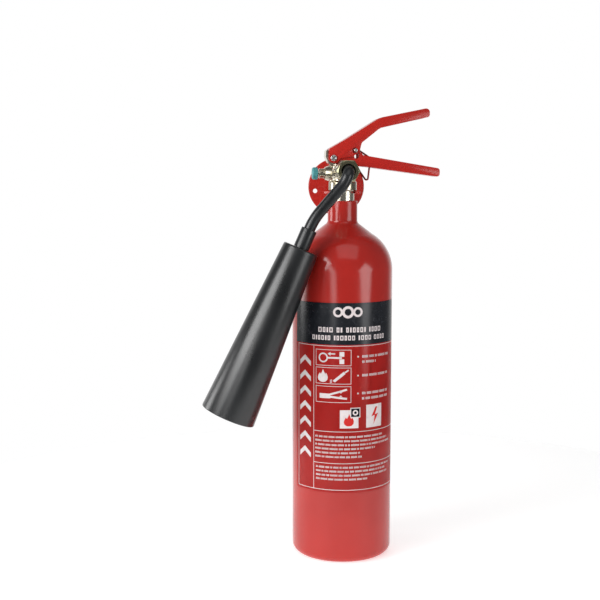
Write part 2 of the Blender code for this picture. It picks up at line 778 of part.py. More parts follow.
def make_pivot_rivet():
    head_start = LEVER_HALF_WIDTH + GAP
    head_end = head_start + 1.6 * MM
    half = [
        (0, head_end - 1.1 * MM),
        (1.2 * MM, head_end - 1.1 * MM),
        (1.6 * MM, head_end),
        (2.7 * MM, head_end),
        (3.4 * MM, head_end - 0.7 * MM),
        (3.4 * MM, head_start),
        (PIVOT_HOLE_RADIUS - GAP, head_start),
    ]
    mirrored = [(radius, -height) for radius, height in reversed(half)]
    rivet = turned("lever_pivot_rivet", half + mirrored, PIVOT, Y_AXIS, 18)
    add_part(show_as_part(rivet), STEEL, 0.3, 1.0)


def make_safety_pin(lever_pivot):
    """The pin slides out along +Y; the pull ring turns in the eye across its head."""
    pin_pivot = pivot_empty("safety_pin_pull", PIN_CENTRE, lever_pivot)
    head_start = LEVER_HALF_WIDTH + 0.6 * MM
    head_end = RING_PLANE + 3.4 * MM
    profile = [
        (0, head_end),
        (2.6 * MM, head_end),
        (3.6 * MM, head_end - 1 * MM),
        (3.6 * MM, head_start + 0.5 * MM),
        (3.1 * MM, head_start),
        (PIN_RADIUS, head_start),
        (PIN_RADIUS, -13.6 * MM),
        (PIN_RADIUS - 0.9 * MM, -14.8 * MM),
        (0, -14.8 * MM),
    ]
    pin = turned("safety_pin", profile, PIN_CENTRE, Y_AXIS, 24)
    eye = PIN_CENTRE + RING_PLANE * Y_AXIS
    cut(pin, rod("pin_eye", RING_WIRE_RADIUS + 0.4 * MM, -8 * MM, 8 * MM, ring_axis(), eye, 16))
    add_part(show_as_part(pin), STEEL, 0.3, 1.0, pin_pivot)

    ring_pivot = pivot_empty("pull_ring_flip", eye, pin_pivot)
    along = ring_axis()
    wide = 5.3 * MM
    corners = [
        (*(eye - along * wide), 1.6 * MM),
        (29.9 * MM, eye.y, 404.4 * MM, 1.8 * MM),
        (32.9 * MM, eye.y, 431 * MM, 2.5 * MM),
        (*(eye + along * wide), 1.6 * MM),
    ]
    ring = curve_object("pull_ring", "3D", [rounded(corners, steps=4)], cyclic=True)
    ring.data.bevel_depth = RING_WIRE_RADIUS
    ring.data.bevel_resolution = 2
    add_part(show_as_part(ring), (0.35, 0.05, 0.04), 0.35, 0.3, ring_pivot)


def ring_axis():
    """The direction of the wire through the pin's eye, across the ring's own length."""
    return Vector((0.755, 0, 0.656)).normalized()


# ---------------------------------------------------------------- outlet, tube and horn


def horn_point(distance):
    """A point on the horn's axis, by its distance below the crown."""
    down = Vector((-math.sin(HORN_TILT), 0, -math.cos(HORN_TILT)))
    return HORN_TOP + distance * down


def horn_turned(name, profile, steps):
    """A piece turned about the horn's axis; its heights are distances below the crown."""
    upright = [(radius, distance) for radius, distance in reversed(profile)]
    return turned(name, upright, HORN_TOP, horn_point(1) - HORN_TOP, steps)


def make_swivel_nut():
    origin = (0, 0, OUTLET_HEIGHT)
    nut_back = OUTLET_BOSS_END + 0.5 * MM
    flats_level = math.radians(30)
    nut = hexagon("swivel_nut", NUT_ACROSS_FLATS, nut_back, NUT_FRONT, -Y_AXIS, origin, flats_level)
    bore = [
        (0, NUT_FRONT + 1 * MM),
        (NUT_LIP_RADIUS + 1.6 * MM, NUT_FRONT + 1 * MM),
        (NUT_LIP_RADIUS, NUT_FRONT - 0.6 * MM),
        (NUT_LIP_RADIUS, 38.2 * MM),
        (SPIGOT_RADIUS + GAP, 38.2 * MM),
        (SPIGOT_RADIUS + GAP, nut_back - 1 * MM),
        (0, nut_back - 1 * MM),
    ]
    cut(nut, turned("nut_bore", bore, origin, -Y_AXIS, 30))
    add_part(show_as_part(nut), OLIVE_ZINC, 0.35, 0.9)
    seal_profile = [(8.6 * MM, 33.4 * MM), (8.6 * MM, 32.3 * MM), (3.6 * MM, 32.3 * MM), (3.6 * MM, 33.4 * MM)]
    seal = turned("outlet_seal", seal_profile, origin, -Y_AXIS, 28)
    add_part(show_as_part(seal), (0.7, 0.7, 0.68), 0.5)


def make_discharge_tube(swivel):
    origin = (0, 0, OUTLET_HEIGHT)
    ferrule_profile = [
        (9.2 * MM, 37.9 * MM),
        (9.2 * MM, 33.7 * MM),
        (4.2 * MM, 33.7 * MM),
        (4.2 * MM, 34.7 * MM),
        (TUBE_RADIUS + GAP, 34.7 * MM),
        (TUBE_RADIUS + GAP, 37.9 * MM),
    ]
    ferrule = turned("swivel_ferrule", ferrule_profile, origin, -Y_AXIS, 24)
    add_part(show_as_part(ferrule), BLACK, 0.45, 0.0, swivel)
    corners = [
        (0, -35 * MM, OUTLET_HEIGHT, 0),
        (0, -HORN_PLANE, OUTLET_HEIGHT, 7.6 * MM),
        (-4.9 * MM, -HORN_PLANE, OUTLET_HEIGHT - 12.2 * MM, 30 * MM),
        (*horn_point(-COLLAR_LENGTH - 12 * MM), 70 * MM),
        (*horn_point(12 * MM), 0),
    ]
    tube = curve_object("discharge_tube", "3D", [rounded(corners, closed=False, steps=6)], cyclic=False)
    tube.data.bevel_depth = TUBE_RADIUS
    tube.data.bevel_resolution = 3
    tube = to_mesh(tube)
    wall = tube.modifiers.new("Wall", "SOLIDIFY")
    wall.thickness = TUBE_WALL
    wall.offset = -1
    add_part(show_as_part(tube), BLACK, 0.4, 0.0, swivel)


def make_horn(swivel):
    collar_profile = [
        (COLLAR_RADIUS - 0.8 * MM, -COLLAR_LENGTH),
        (COLLAR_RADIUS, -COLLAR_LENGTH + 0.8 * MM),
        (COLLAR_RADIUS, -GAP),
        (TUBE_RADIUS + GAP, -GAP),
        (TUBE_RADIUS + GAP, -COLLAR_LENGTH),
    ]
    collar = horn_turned("horn_collar", collar_profile, 24)
    add_part(show_as_part(collar), BLACK, 0.45, 0.0, swivel)

    hole = TUBE_RADIUS + GAP
    rim_thickness = 2.6 * MM
    horn_profile = [
        (hole, 0),
        (HORN_TOP_RADIUS - 2 * MM, 0),
        (HORN_TOP_RADIUS - 0.5 * MM, 0.5 * MM),
        (HORN_TOP_RADIUS, 2 * MM),
        (HORN_MOUTH_RADIUS, HORN_LENGTH - 1 * MM),
        (HORN_MOUTH_RADIUS - 0.6 * MM, HORN_LENGTH),
        (HORN_MOUTH_RADIUS - rim_thickness, HORN_LENGTH),
        (HORN_MOUTH_RADIUS - rim_thickness, HORN_LENGTH - 6 * MM),
        (HORN_TOP_RADIUS - HORN_WALL, HORN_CROWN),
        (hole, HORN_CROWN),
    ]
    horn = horn_turned("horn", horn_profile, 40)
    add_part(show_as_part(horn), BLACK, 0.5, 0.0, swivel)

    down = horn_point(1) - HORN_TOP
    nut = hexagon("horn_lock_nut", 18 * MM, HORN_CROWN + GAP, 9.4 * MM, down, HORN_TOP)
    cut(nut, rod("lock_nut_bore", hole, 0, 20 * MM, down, HORN_TOP, 28))
    add_part(show_as_part(nut), STEEL, 0.35, 1.0, swivel)
    nozzle_profile = [
        (5.6 * MM, 12.3 * MM),
        (5.6 * MM, 18 * MM),
        (3.6 * MM, 20 * MM),
        (1.8 * MM, 20 * MM),
        (1.8 * MM, 12.3 * MM),
    ]
    nozzle = horn_turned("gas_nozzle", nozzle_profile, 24)
    add_part(show_as_part(nozzle), BRASS, 0.35, 0.9, swivel)


# ---------------------------------------------------------------- wall hook


def make_wall_hook():
    hook = pivot_empty("hook_slide", (0, HOOK_PLATE_FRONT, HOOK_PLATE_HEIGHT))
    holes = []
    for index in range(HOOK_HOLES):
        turn = HOOK_FIRST_HOLE + 2 * math.pi * index / HOOK_HOLES
        across = HOOK_PLATE_X + HOOK_HOLE_CIRCLE * math.cos(turn)
        centre = (across, HOOK_PLATE_HEIGHT + HOOK_HOLE_CIRCLE * math.sin(turn))
        holes.append(circle(HOOK_HOLE_RADIUS, centre, 20))
    edge = circle(HOOK_PLATE_RADIUS, (HOOK_PLATE_X, HOOK_PLATE_HEIGHT), 64)
    middle = HOOK_PLATE_FRONT + HOOK_SHEET / 2
    plate = side_sheet("hook_plate", [edge, *holes], HOOK_SHEET, middle)
    add_part(show_as_part(plate), BRIGHT_RED, 0.28, 0.0, hook)

    tip_radius = (FORK_OUTER - FORK_INNER) / 2 - 0.1 * MM
    fork_end = HOOK_PLATE_FRONT - GAP
    right_side = [
        (FORK_INNER, FORK_TIP, tip_radius),
        (FORK_OUTER, FORK_TIP, tip_radius),
        (FORK_OUTER, 14 * MM, 20 * MM),
        (12 * MM, fork_end - 6 * MM, 12 * MM),
        (12 * MM, fork_end, 0),
    ]
    left_side = [(-x, y, radius) for x, y, radius in reversed(right_side)]
    throat_steps = 16
    throat = []
    for step in range(throat_steps + 1):
        turn = math.pi * (1 - step / throat_steps)
        throat.append((FORK_INNER * math.cos(turn), FORK_INNER * math.sin(turn), 0))
    outline = rounded(right_side + left_side + throat)
    fork = sheet("hook_fork", [outline], FORK_SHEET)
    fork.location = (0, 0, FORK_TOP - FORK_SHEET / 2)
    add_part(show_as_part(to_mesh(fork)), BRIGHT_RED, 0.28, 0.0, hook)


def build():
    make_cylinder()
    make_label()
    make_valve_body()
    make_neck_seal()
    make_gland()
    make_burst_assembly()
    make_lower_valve()
    make_stem()
    make_carry_handle()
    lever_pivot = make_lever()
    make_pivot_rivet()
    make_safety_pin(lever_pivot)
    make_swivel_nut()
    swivel = pivot_empty("horn_swivel", (0, -40 * MM, OUTLET_HEIGHT))
    make_discharge_tube(swivel)
    make_horn(swivel)
    make_wall_hook()


clear_scene()
PARTS = new_collection("fire_extinguisher")
HELPERS = new_collection("cutters")
build()
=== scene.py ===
import json
import math
import random

import bmesh
import bpy
from mathutils import Matrix, Vector
from mathutils.geometry import tessellate_polygon


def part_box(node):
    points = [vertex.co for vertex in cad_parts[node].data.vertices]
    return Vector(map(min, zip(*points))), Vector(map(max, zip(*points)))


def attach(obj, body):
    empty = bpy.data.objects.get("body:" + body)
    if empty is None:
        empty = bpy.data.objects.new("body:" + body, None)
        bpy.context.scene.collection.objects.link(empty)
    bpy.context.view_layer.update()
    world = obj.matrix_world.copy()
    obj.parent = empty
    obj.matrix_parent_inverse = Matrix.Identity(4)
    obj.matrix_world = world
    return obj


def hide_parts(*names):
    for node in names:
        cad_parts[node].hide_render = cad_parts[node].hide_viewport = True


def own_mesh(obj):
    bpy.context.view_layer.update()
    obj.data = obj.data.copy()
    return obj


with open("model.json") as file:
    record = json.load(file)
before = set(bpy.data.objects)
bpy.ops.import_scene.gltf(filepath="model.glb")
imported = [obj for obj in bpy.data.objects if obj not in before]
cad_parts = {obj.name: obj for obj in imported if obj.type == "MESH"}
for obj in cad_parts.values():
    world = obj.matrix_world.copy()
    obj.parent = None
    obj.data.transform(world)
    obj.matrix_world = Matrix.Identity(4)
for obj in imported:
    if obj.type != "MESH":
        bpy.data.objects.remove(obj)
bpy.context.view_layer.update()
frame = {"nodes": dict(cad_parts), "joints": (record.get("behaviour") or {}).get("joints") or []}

MM = 0.001
X_AXIS = Vector((1, 0, 0))
Y_AXIS = Vector((0, 1, 0))
Z_AXIS = Vector((0, 0, 1))


# ---------------------------------------------------------------- places read from the frame


def middle(node):
    low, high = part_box(node)
    return (low + high) / 2


def mm(*rows):
    """Rows of numbers in millimetres, as tuples in metres."""
    return [tuple(value * MM for value in row) for row in rows]


JOINTS = {joint["name"]: joint for joint in frame["joints"]}
CYLINDER_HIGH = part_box("cylinder")[1]
BODY_RADIUS = CYLINDER_HIGH.x
NECK_TOP = CYLINDER_HIGH.z
LABEL_LOW, LABEL_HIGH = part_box("label")
LABEL_RADIUS = -LABEL_LOW.y
PIVOT = Vector(JOINTS["lever_squeeze"]["pos_m"])
RING_EYE = Vector(JOINTS["pull_ring_flip"]["pos_m"])
RING_AXIS = Vector(JOINTS["pull_ring_flip"]["axis"]).normalized()
PIN_CENTRE = Vector((RING_EYE.x, 0, RING_EYE.z))
OUTLET_HEIGHT = Vector(JOINTS["horn_swivel"]["pos_m"]).z
NUT_FRONT = -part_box("swivel_nut")[0].y
NUT_BACK = -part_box("swivel_nut")[1].y
BURST_HEIGHT = middle("burst_cap").z
LEVER_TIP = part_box("operating_lever")[1].x
HANDLE_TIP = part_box("carry_handle")[1].x
LEVER_HALF_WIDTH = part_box("operating_lever")[1].y
HANDLE_HALF_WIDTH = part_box("carry_handle")[1].y
HOOK_CENTRE = middle("hook_plate")
HOOK_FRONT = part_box("hook_plate")[0].y
HOOK_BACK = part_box("hook_plate")[1].y
FORK_LOW, FORK_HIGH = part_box("hook_fork")

LEVER_TRAVEL = math.radians(15)
PIVOT_HOLE = 2.6 * MM
PIN_RADIUS = 2.1 * MM
SLOT_CLEARANCE = 0.4 * MM
THROUGH = 20 * MM  # half the length of a cutter that passes through a handle or a plate

# The horn's axis runs down and to the left in a plane in front of the cylinder.
HORN_PLANE = middle("horn").y
HORN_TILT = math.radians(23.8)
HORN_DOWN = Vector((-math.sin(HORN_TILT), 0, -math.cos(HORN_TILT)))
HORN_TOP = Vector((-50.5 * MM, HORN_PLANE, 336.75 * MM))
HORN_LENGTH = 189.7 * MM
HORN_TOP_RADIUS = 18.65 * MM
HORN_MOUTH_RADIUS = 29.2 * MM
TUBE_RADIUS = 6 * MM
COLLAR_LENGTH = 21.6 * MM
TUBE_HOLE = 6.3 * MM  # in the collar and the horn's crown


# ---------------------------------------------------------------- materials


class Surface:
    """A Principled material with object-space textures, so that its grain rides with the piece."""

    def __init__(self, name, roughness, metallic=0.0, **sockets):
        self.material = bpy.data.materials.new(name)
        self.material.use_nodes = True
        self.tree = self.material.node_tree
        self.shader = self.tree.nodes["Principled BSDF"]
        self.shader.inputs["Roughness"].default_value = roughness
        self.shader.inputs["Metallic"].default_value = metallic
        for socket, value in sockets.items():
            self.shader.inputs[socket.replace("_", " ")].default_value = value
        self.place = self.tree.nodes.new("ShaderNodeTexCoord").outputs["Object"]

    def link(self, source, target):
        self.tree.links.new(source, target)

    def noise(self, scale, detail=3.0, roughness=0.5, stretch=(1, 1, 1)):
        mapping = self.tree.nodes.new("ShaderNodeMapping")
        mapping.inputs["Scale"].default_value = stretch
        self.link(self.place, mapping.inputs["Vector"])
        texture = self.tree.nodes.new("ShaderNodeTexNoise")
        texture.inputs["Scale"].default_value = scale
        texture.inputs["Detail"].default_value = detail
        texture.inputs["Roughness"].default_value = roughness
        self.link(mapping.outputs["Vector"], texture.inputs["Vector"])
        return texture.outputs["Fac"]

    def ramp(self, factor, *stops):
        """A colour ramp; each stop is its place and its colour or its grey."""
        node = self.tree.nodes.new("ShaderNodeValToRGB")
        elements = node.color_ramp.elements
        while len(elements) < len(stops):
            elements.new(0.5)
        for element, (position, value) in zip(elements, stops):
            element.position = position
            element.color = (*value, 1) if hasattr(value, "__len__") else (value, value, value, 1)
        self.link(factor, node.inputs["Fac"])
        return node.outputs["Color"]

    def mix(self, factor, first, second):
        node = self.tree.nodes.new("ShaderNodeMix")
        node.data_type = "RGBA"
        self.link(factor, node.inputs["Factor"])
        for value, socket in ((first, node.inputs["A"]), (second, node.inputs["B"])):
            if hasattr(value, "is_linked"):
                self.link(value, socket)
            else:
                socket.default_value = (*value, 1)
        return node.outputs["Result"]

    def edges(self, low, high):
        """Bright along worn convex edges, dark elsewhere."""
        geometry = self.tree.nodes.new("ShaderNodeNewGeometry")
        return self.ramp(geometry.outputs["Pointiness"], (low, 0.0), (high, 1.0))

    def colour(self, value):
        self.link(value, self.shader.inputs["Base Color"])

    def rough(self, value):
        self.link(value, self.shader.inputs["Roughness"])

    def bump(self, height, distance, strength):
        node = self.tree.nodes.new("ShaderNodeBump")
        node.inputs["Strength"].default_value = strength
        node.inputs["Distance"].default_value = distance
        self.link(height, node.inputs["Height"])
        self.link(node.outputs["Normal"], self.shader.inputs["Normal"])


def enamel(name, deep, bright, roughness):
    """Sprayed gloss enamel: faint colour drift, orange peel and a few fine scuffs."""
    surface = Surface(name, roughness, Specular_IOR_Level=0.5)
    drift = surface.noise(9, detail=4)
    surface.colour(surface.mix(surface.ramp(drift, (0.35, 0.0), (0.65, 1.0)), deep, bright))
    scuffs = surface.noise(70, detail=8, roughness=0.7, stretch=(1, 1, 0.25))
    surface.rough(surface.ramp(scuffs, (0.42, roughness - 0.03), (0.72, roughness + 0.09)))
    surface.bump(surface.noise(420, detail=2), 0.04 * MM, 0.35)
    return surface.material


def black_plastic(name, roughness, grain_scale, light, shine=0.5):
    """Moulded satin black plastic: fine grain and faint, cool grey flow streaks."""
    surface = Surface(name, roughness, Specular_IOR_Level=shine)
    streaks = surface.noise(26, detail=5, roughness=0.6, stretch=(1, 1, 0.3))
    dark = tuple(light * share for share in (0.46, 0.54, 0.62))
    pale = tuple(light * share for share in (0.88, 1.02, 1.16))
    surface.colour(surface.mix(surface.ramp(streaks, (0.35, 0.0), (0.7, 1.0)), dark, pale))
    surface.rough(surface.ramp(streaks, (0.3, roughness - 0.05), (0.75, roughness + 0.08)))
    surface.bump(surface.noise(grain_scale, detail=3), 0.06 * MM, 0.35)
    return surface.material


def cast_metal(name, base, stain, roughness, grain=700):
    """Plated metal: yellow-grey stains, tool marks and edges rubbed bright."""
    surface = Surface(name, roughness, metallic=1.0)
    patches = surface.ramp(surface.noise(130, detail=5, roughness=0.6), (0.4, 0.0), (0.62, 1.0))
    tinted = surface.mix(patches, base, stain)
    rubbed = tuple(min(1, 1.25 * channel + 0.06) for channel in base)
    surface.colour(surface.mix(surface.edges(0.51, 0.62), tinted, rubbed))
    fine = surface.noise(grain, detail=4)
    surface.rough(surface.ramp(fine, (0.3, roughness - 0.08), (0.7, roughness + 0.14)))
    surface.bump(fine, 0.05 * MM, 0.4)
    return surface.material


def turned_metal(name, base, roughness):
    """Machined metal with a fine satin grain."""
    surface = Surface(name, roughness, metallic=1.0)
    grain = surface.noise(1400, detail=2)
    darker = tuple(0.72 * channel for channel in base)
    surface.colour(surface.mix(surface.ramp(grain, (0.35, 0.0), (0.65, 1.0)), darker, base))
    surface.rough(surface.ramp(grain, (0.3, roughness - 0.06), (0.7, roughness + 0.1)))
    surface.bump(grain, 0.03 * MM, 0.5)
    return surface.material


def printed_ink(name, pale, worn, roughness):
    """A screen-printed ink film: slightly uneven density, a little more matt than the paint."""
    surface = Surface(name, roughness, Specular_IOR_Level=0.4)
    density = surface.noise(160, detail=5, roughness=0.65)
    surface.colour(surface.mix(surface.ramp(density, (0.45, 0.0), (0.75, 1.0)), pale, worn))
    surface.rough(surface.ramp(density, (0.3, roughness - 0.04), (0.7, roughness + 0.08)))
    surface.bump(surface.noise(420, detail=2), 0.04 * MM, 0.3)
    return surface.material


def soft_plastic(name, base, shade, roughness):
    """Dyed plastic that lets a little light in, with a faint mottling."""
    surface = Surface(name, roughness, Subsurface_Weight=0.05, Subsurface_Scale=0.002)
    mottling = surface.noise(240, detail=4)
    surface.colour(surface.mix(surface.ramp(mottling, (0.35, 0.0), (0.7, 1.0)), base, shade))
    surface.rough(surface.ramp(mottling, (0.3, roughness - 0.05), (0.7, roughness + 0.1)))
    surface.bump(mottling, 0.06 * MM, 0.3)
    return surface.material


RED_ENAMEL = enamel("red enamel", (0.40, 0.018, 0.013), (0.48, 0.024, 0.018), 0.16)
LABEL_RED = enamel("label red", (0.62, 0.026, 0.022), (0.72, 0.032, 0.027), 0.20)
HANDLE_RED = enamel("handle red", (0.46, 0.016, 0.010), (0.54, 0.021, 0.014), 0.24)
HORN_BLACK = black_plastic("horn plastic", 0.30, 900, light=0.010, shine=0.7)
TUBE_BLACK = black_plastic("tube coating", 0.30, 1500, light=0.013, shine=0.6)
PLATED_BRASS = cast_metal("plated brass", (0.50, 0.46, 0.38), (0.32, 0.28, 0.18), 0.20)
OLIVE_ZINC = cast_metal("olive zinc", (0.17, 0.16, 0.085), (0.10, 0.105, 0.05), 0.24, grain=1100)
BRIGHT_STEEL = turned_metal("bright steel", (0.72, 0.72, 0.71), 0.24)
RING_WIRE = cast_metal("ring wire", (0.34, 0.06, 0.05), (0.20, 0.03, 0.03), 0.30, grain=1400)
TEAL_PLASTIC = soft_plastic("teal plastic", (0.060, 0.300, 0.320), (0.085, 0.360, 0.370), 0.38)
WHITE_NYLON = soft_plastic("white nylon", (0.72, 0.70, 0.62), (0.64, 0.62, 0.54), 0.45)
SEAL_RUBBER = black_plastic("seal rubber", 0.6, 1800, light=0.020)
BAND_BLACK = printed_ink("band black", (0.010, 0.012, 0.016), (0.018, 0.020, 0.026), 0.22)
PALE_INK = printed_ink("pale ink", (0.78, 0.70, 0.70), (0.66, 0.56, 0.56), 0.34)


# ---------------------------------------------------------------- pieces


def to_object(name, shape):
    """An object in the scene from a bmesh, which is used up."""
    mesh = bpy.data.meshes.new(name)
    shape.to_mesh(mesh)
    shape.free()
    obj = bpy.data.objects.new(name, mesh)
    bpy.context.scene.collection.objects.link(obj)
    return obj


def new_piece(name, shape, material, body, replaced, sharp=30):
    """Turn a bmesh into a smooth-shaded piece that rides on a body and stands for a CAD node."""
    bmesh.ops.recalc_face_normals(shape, faces=shape.faces)
    obj = to_object(name, shape)
    obj.data.shade_smooth()
    obj.data.set_sharp_from_angle(angle=math.radians(sharp))
    obj.data.materials.append(material)
    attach(obj, body)
    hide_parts(*replaced)
    return obj


def rounded(corners, closed=True, steps=6):
    """Points along a line with rounded corners; a corner is its coordinates and its radius."""
    points = [Vector(corner[:-1]).to_3d() for corner in corners]
    result = []
    for index, corner in enumerate(corners):
        here = points[index]
        radius = corner[-1]
        if radius == 0 or (not closed and index in (0, len(corners) - 1)):
            result.append(here)
            continue
        back = (points[index - 1] - here).normalized()
        ahead = (points[(index + 1) % len(points)] - here).normalized()
        half_angle = back.angle(ahead) / 2
        centre = here + (back + ahead).normalized() * radius / math.sin(half_angle)
        start = (here + back * radius / math.tan(half_angle) - centre).normalized()
        end = (here + ahead * radius / math.tan(half_angle) - centre).normalized()
        result += [centre + radius * start.slerp(end, step / steps) for step in range(steps + 1)]
    return result


def arc(centre, radius, start, end, steps):
    angles = [start + (end - start) * step / steps for step in range(steps + 1)]
    return [(centre[0] + radius * math.cos(a), centre[1] + radius * math.sin(a)) for a in angles]


def soft_profile(corners, steps=4):
    """A (radius, height) profile with rounded corners; a corner is (radius, height, rounding)."""
    return [(point.x, point.y) for point in rounded(corners, closed=False, steps=steps)]


def aimed(origin, axis):
    """The matrix that puts local Z along an axis through a point."""
    turn = Z_AXIS.rotation_difference(Vector(axis)).to_matrix().to_4x4()
    return Matrix.Translation(Vector(origin)) @ turn


def lathe(profile, origin=(0, 0, 0), axis=Z_AXIS, steps=72):
    """A turned shape. A profile off the axis at both ends is closed into a ring."""
    shape = bmesh.new()
    points = [shape.verts.new((radius, 0, height)) for radius, height in profile]
    edges = [shape.edges.new(pair) for pair in zip(points, points[1:])]
    if profile[0][0] > 0 and profile[-1][0] > 0:
        edges.append(shape.edges.new((points[-1], points[0])))
    bmesh.ops.spin(
        shape,
        geom=points + edges,
        cent=(0, 0, 0),
        axis=Z_AXIS,
        dvec=(0, 0, 0),
        angle=2 * math.pi,
        steps=steps,
        use_merge=True,
    )
    bmesh.ops.remove_doubles(shape, verts=shape.verts, dist=1e-7)
    bmesh.ops.transform(shape, matrix=aimed(origin, axis), verts=shape.verts)
    return shape


def prism(outline, half_width):
    """An outline in the XZ plane, pulled to both sides along Y."""
    shape = bmesh.new()
    near = [shape.verts.new((point.x, -half_width, point.y)) for point in outline]
    far = [shape.verts.new((point.x, half_width, point.y)) for point in outline]
    shape.faces.new(near)
    shape.faces.new(list(reversed(far)))
    count = len(outline)
    for index in range(count):
        following = (index + 1) % count
        shape.faces.new((near[following], near[index], far[index], far[following]))
    bmesh.ops.recalc_face_normals(shape, faces=shape.faces)
    return shape


def round_edges(shape, chosen, width, segments=4):
    """Round the edges that pass a test of their middle point and the edge itself."""
    edges = [edge for edge in shape.edges if chosen((edge.verts[0].co + edge.verts[1].co) / 2, edge)]
    bmesh.ops.bevel(
        shape,
        geom=edges,
        offset=width,
        segments=segments,
        affect="EDGES",
        profile=0.5,
        clamp_overlap=True,
    )


def sweep(path, radius, sides=20, closed=False):
    """A round section carried along a path without twisting."""
    shape = bmesh.new()
    count = len(path)
    turns = [2 * math.pi * step / sides for step in range(sides)]
    rings = []
    side = None
    for index, point in enumerate(path):
        before = path[index - 1] if closed or index > 0 else point
        after = path[(index + 1) % count] if closed or index < count - 1 else point
        along = (after - before).normalized()
        if side is None:
            side = along.orthogonal().normalized()
        side = (side - along * side.dot(along)).normalized()
        other = along.cross(side)
        spokes = [math.cos(a) * side + math.sin(a) * other for a in turns]
        rings.append([shape.verts.new(point + radius * spoke) for spoke in spokes])
    last = count if closed else count - 1
    for index in range(last):
        ring = rings[index]
        following = rings[(index + 1) % count]
        shift = 0
        if closed and index == count - 1:
            gaps = [(ring[0].co - vertex.co).length for vertex in following]
            shift = gaps.index(min(gaps))
        for step in range(sides):
            beyond = (step + 1) % sides
            corners = (
                ring[step],
                ring[beyond],
                following[(beyond + shift) % sides],
                following[(step + shift) % sides],
            )
            shape.faces.new(corners)
    if not closed:
        shape.faces.new(rings[0])
        shape.faces.new(rings[-1])
    return shape


def tool(name, shape):
    """A shape that cuts or joins another and is removed when that is done."""
    bmesh.ops.recalc_face_normals(shape, faces=shape.faces)
    return to_object(name, shape)


def carve(shape, steps, edge_width=0.0):
    """Apply Boolean steps to a shape and give the result back, with its new edges eased."""
    base = tool("base", shape)
    tools = []
    for operation, other in steps:
        helper = tool("helper", other)
        tools.append(helper)
        boolean = base.modifiers.new("step", "BOOLEAN")
        boolean.operation = operation
        boolean.object = helper
        boolean.solver = "EXACT"
    if edge_width > 0:
        bevel = base.modifiers.new("ease", "BEVEL")
        bevel.width = edge_width
        bevel.segments = 2
        bevel.limit_method = "ANGLE"
        bevel.angle_limit = math.radians(38)
    bpy.context.view_layer.update()
    evaluated = base.evaluated_get(bpy.context.evaluated_depsgraph_get())
    mesh = bpy.data.meshes.new_from_object(evaluated)
    result = bmesh.new()
    result.from_mesh(mesh)
    bpy.data.meshes.remove(mesh)
    for obj in [base, *tools]:
        bpy.data.objects.remove(obj, do_unlink=True)
    return result


def rod(radius, start, end, axis=Z_AXIS, origin=(0, 0, 0), steps=40):
    return lathe([(0, end), (radius, end), (radius, start), (0, start)], origin, axis, steps)


def hexagon(across_flats, start, end, origin, axis):
    """A hexagonal nut blank and the turned shape that takes its corners off at both ends."""
    half_side = math.radians(30)
    chamfer_slope = math.radians(30)
    corner = across_flats / 2 / math.cos(half_side)
    flat = across_flats / 2 - 0.5 * MM
    outside = corner + 1.5 * MM
    blank = bmesh.new()
    spun = Matrix.Translation((0, 0, (start + end) / 2)) @ Matrix.Rotation(half_side, 4, "Z")
    bmesh.ops.create_cone(
        blank,
        cap_ends=True,
        segments=6,
        radius1=corner,
        radius2=corner,
        depth=end - start,
        matrix=aimed(origin, axis) @ spun,
    )
    drop = (outside - flat) * math.tan(chamfer_slope)
    lens = [(0, end), (flat, end), (outside, end - drop), (outside, start + drop), (flat, start), (0, start)]
    return blank, lathe(lens, origin, axis, 96)


# ---------------------------------------------------------------- cylinder


def make_cylinder():
    heel = 9 * MM
    dome_radius = 45 * MM
    shoulder = 311 * MM
    neck = 16 * MM
    foot = 361.5 * MM
    seat = 13.6 * MM
    seat_floor = NECK_TOP - 2.5 * MM
    base_top = 1 * MM
    neck_line = [
        (seat, seat_floor, 0),
        (seat, NECK_TOP, 0.3 * MM),
        (neck, NECK_TOP, 1 * MM),
        (neck, foot, 5 * MM),
        (neck + 15.5 * MM, foot - 9.6 * MM, 0),
    ]
    profile = soft_profile(neck_line, steps=8)[:-1]
    dome = arc((BODY_RADIUS - dome_radius, shoulder), dome_radius, math.radians(60), 0, 28)
    profile += dome
    profile += [(BODY_RADIUS, shoulder * share) for share in (0.8, 0.6, 0.4, 0.2)]
    profile += arc((BODY_RADIUS - heel, heel), heel, 0, -math.pi / 2, 10)
    profile += [(BODY_RADIUS * 0.5, 0), (0, 0), (0, base_top), (neck - 5 * MM, base_top)]
    profile += [(neck - 4 * MM, seat_floor)]
    shell = lathe(profile, steps=128)
    new_piece("cylinder_shell", shell, RED_ENAMEL, "extinguisher", ["cylinder"])


# ---------------------------------------------------------------- label


def wrap(s, z, lift):
    """A point of the flat label, by its distance round from the front, on the cylinder."""
    radius = LABEL_RADIUS + lift
    turn = s / LABEL_RADIUS
    return Vector((radius * math.sin(turn), -radius * math.cos(turn), z))


def wrapped(loops_list, lift):
    """Flat shapes, each an outline with holes, cut into narrow strips and bent round."""
    shape = bmesh.new()
    for index, loops in enumerate(loops_list):
        flat = [[Vector((s, z, 0)) for s, z in loop] for loop in loops]
        height = lift + index * 1e-8
        corners = [shape.verts.new((point.x, point.y, height)) for loop in flat for point in loop]
        for triangle in tessellate_polygon(flat):
            shape.faces.new([corners[corner] for corner in triangle])
    reach = max(abs(vertex.co.x) for vertex in shape.verts)
    strip = 2.5 * MM
    for step in range(-math.ceil(reach / strip), math.ceil(reach / strip) + 1):
        everything = shape.verts[:] + shape.edges[:] + shape.faces[:]
        cut = (step * strip, 0, 0)
        bmesh.ops.bisect_plane(shape, geom=everything, plane_co=cut, plane_no=X_AXIS, dist=1e-8)
    turned_over = [face for face in shape.faces if face.normal.z < 0]
    bmesh.ops.reverse_faces(shape, faces=turned_over)
    for vertex in shape.verts:
        vertex.co = wrap(vertex.co.x, vertex.co.y, vertex.co.z)
    return shape


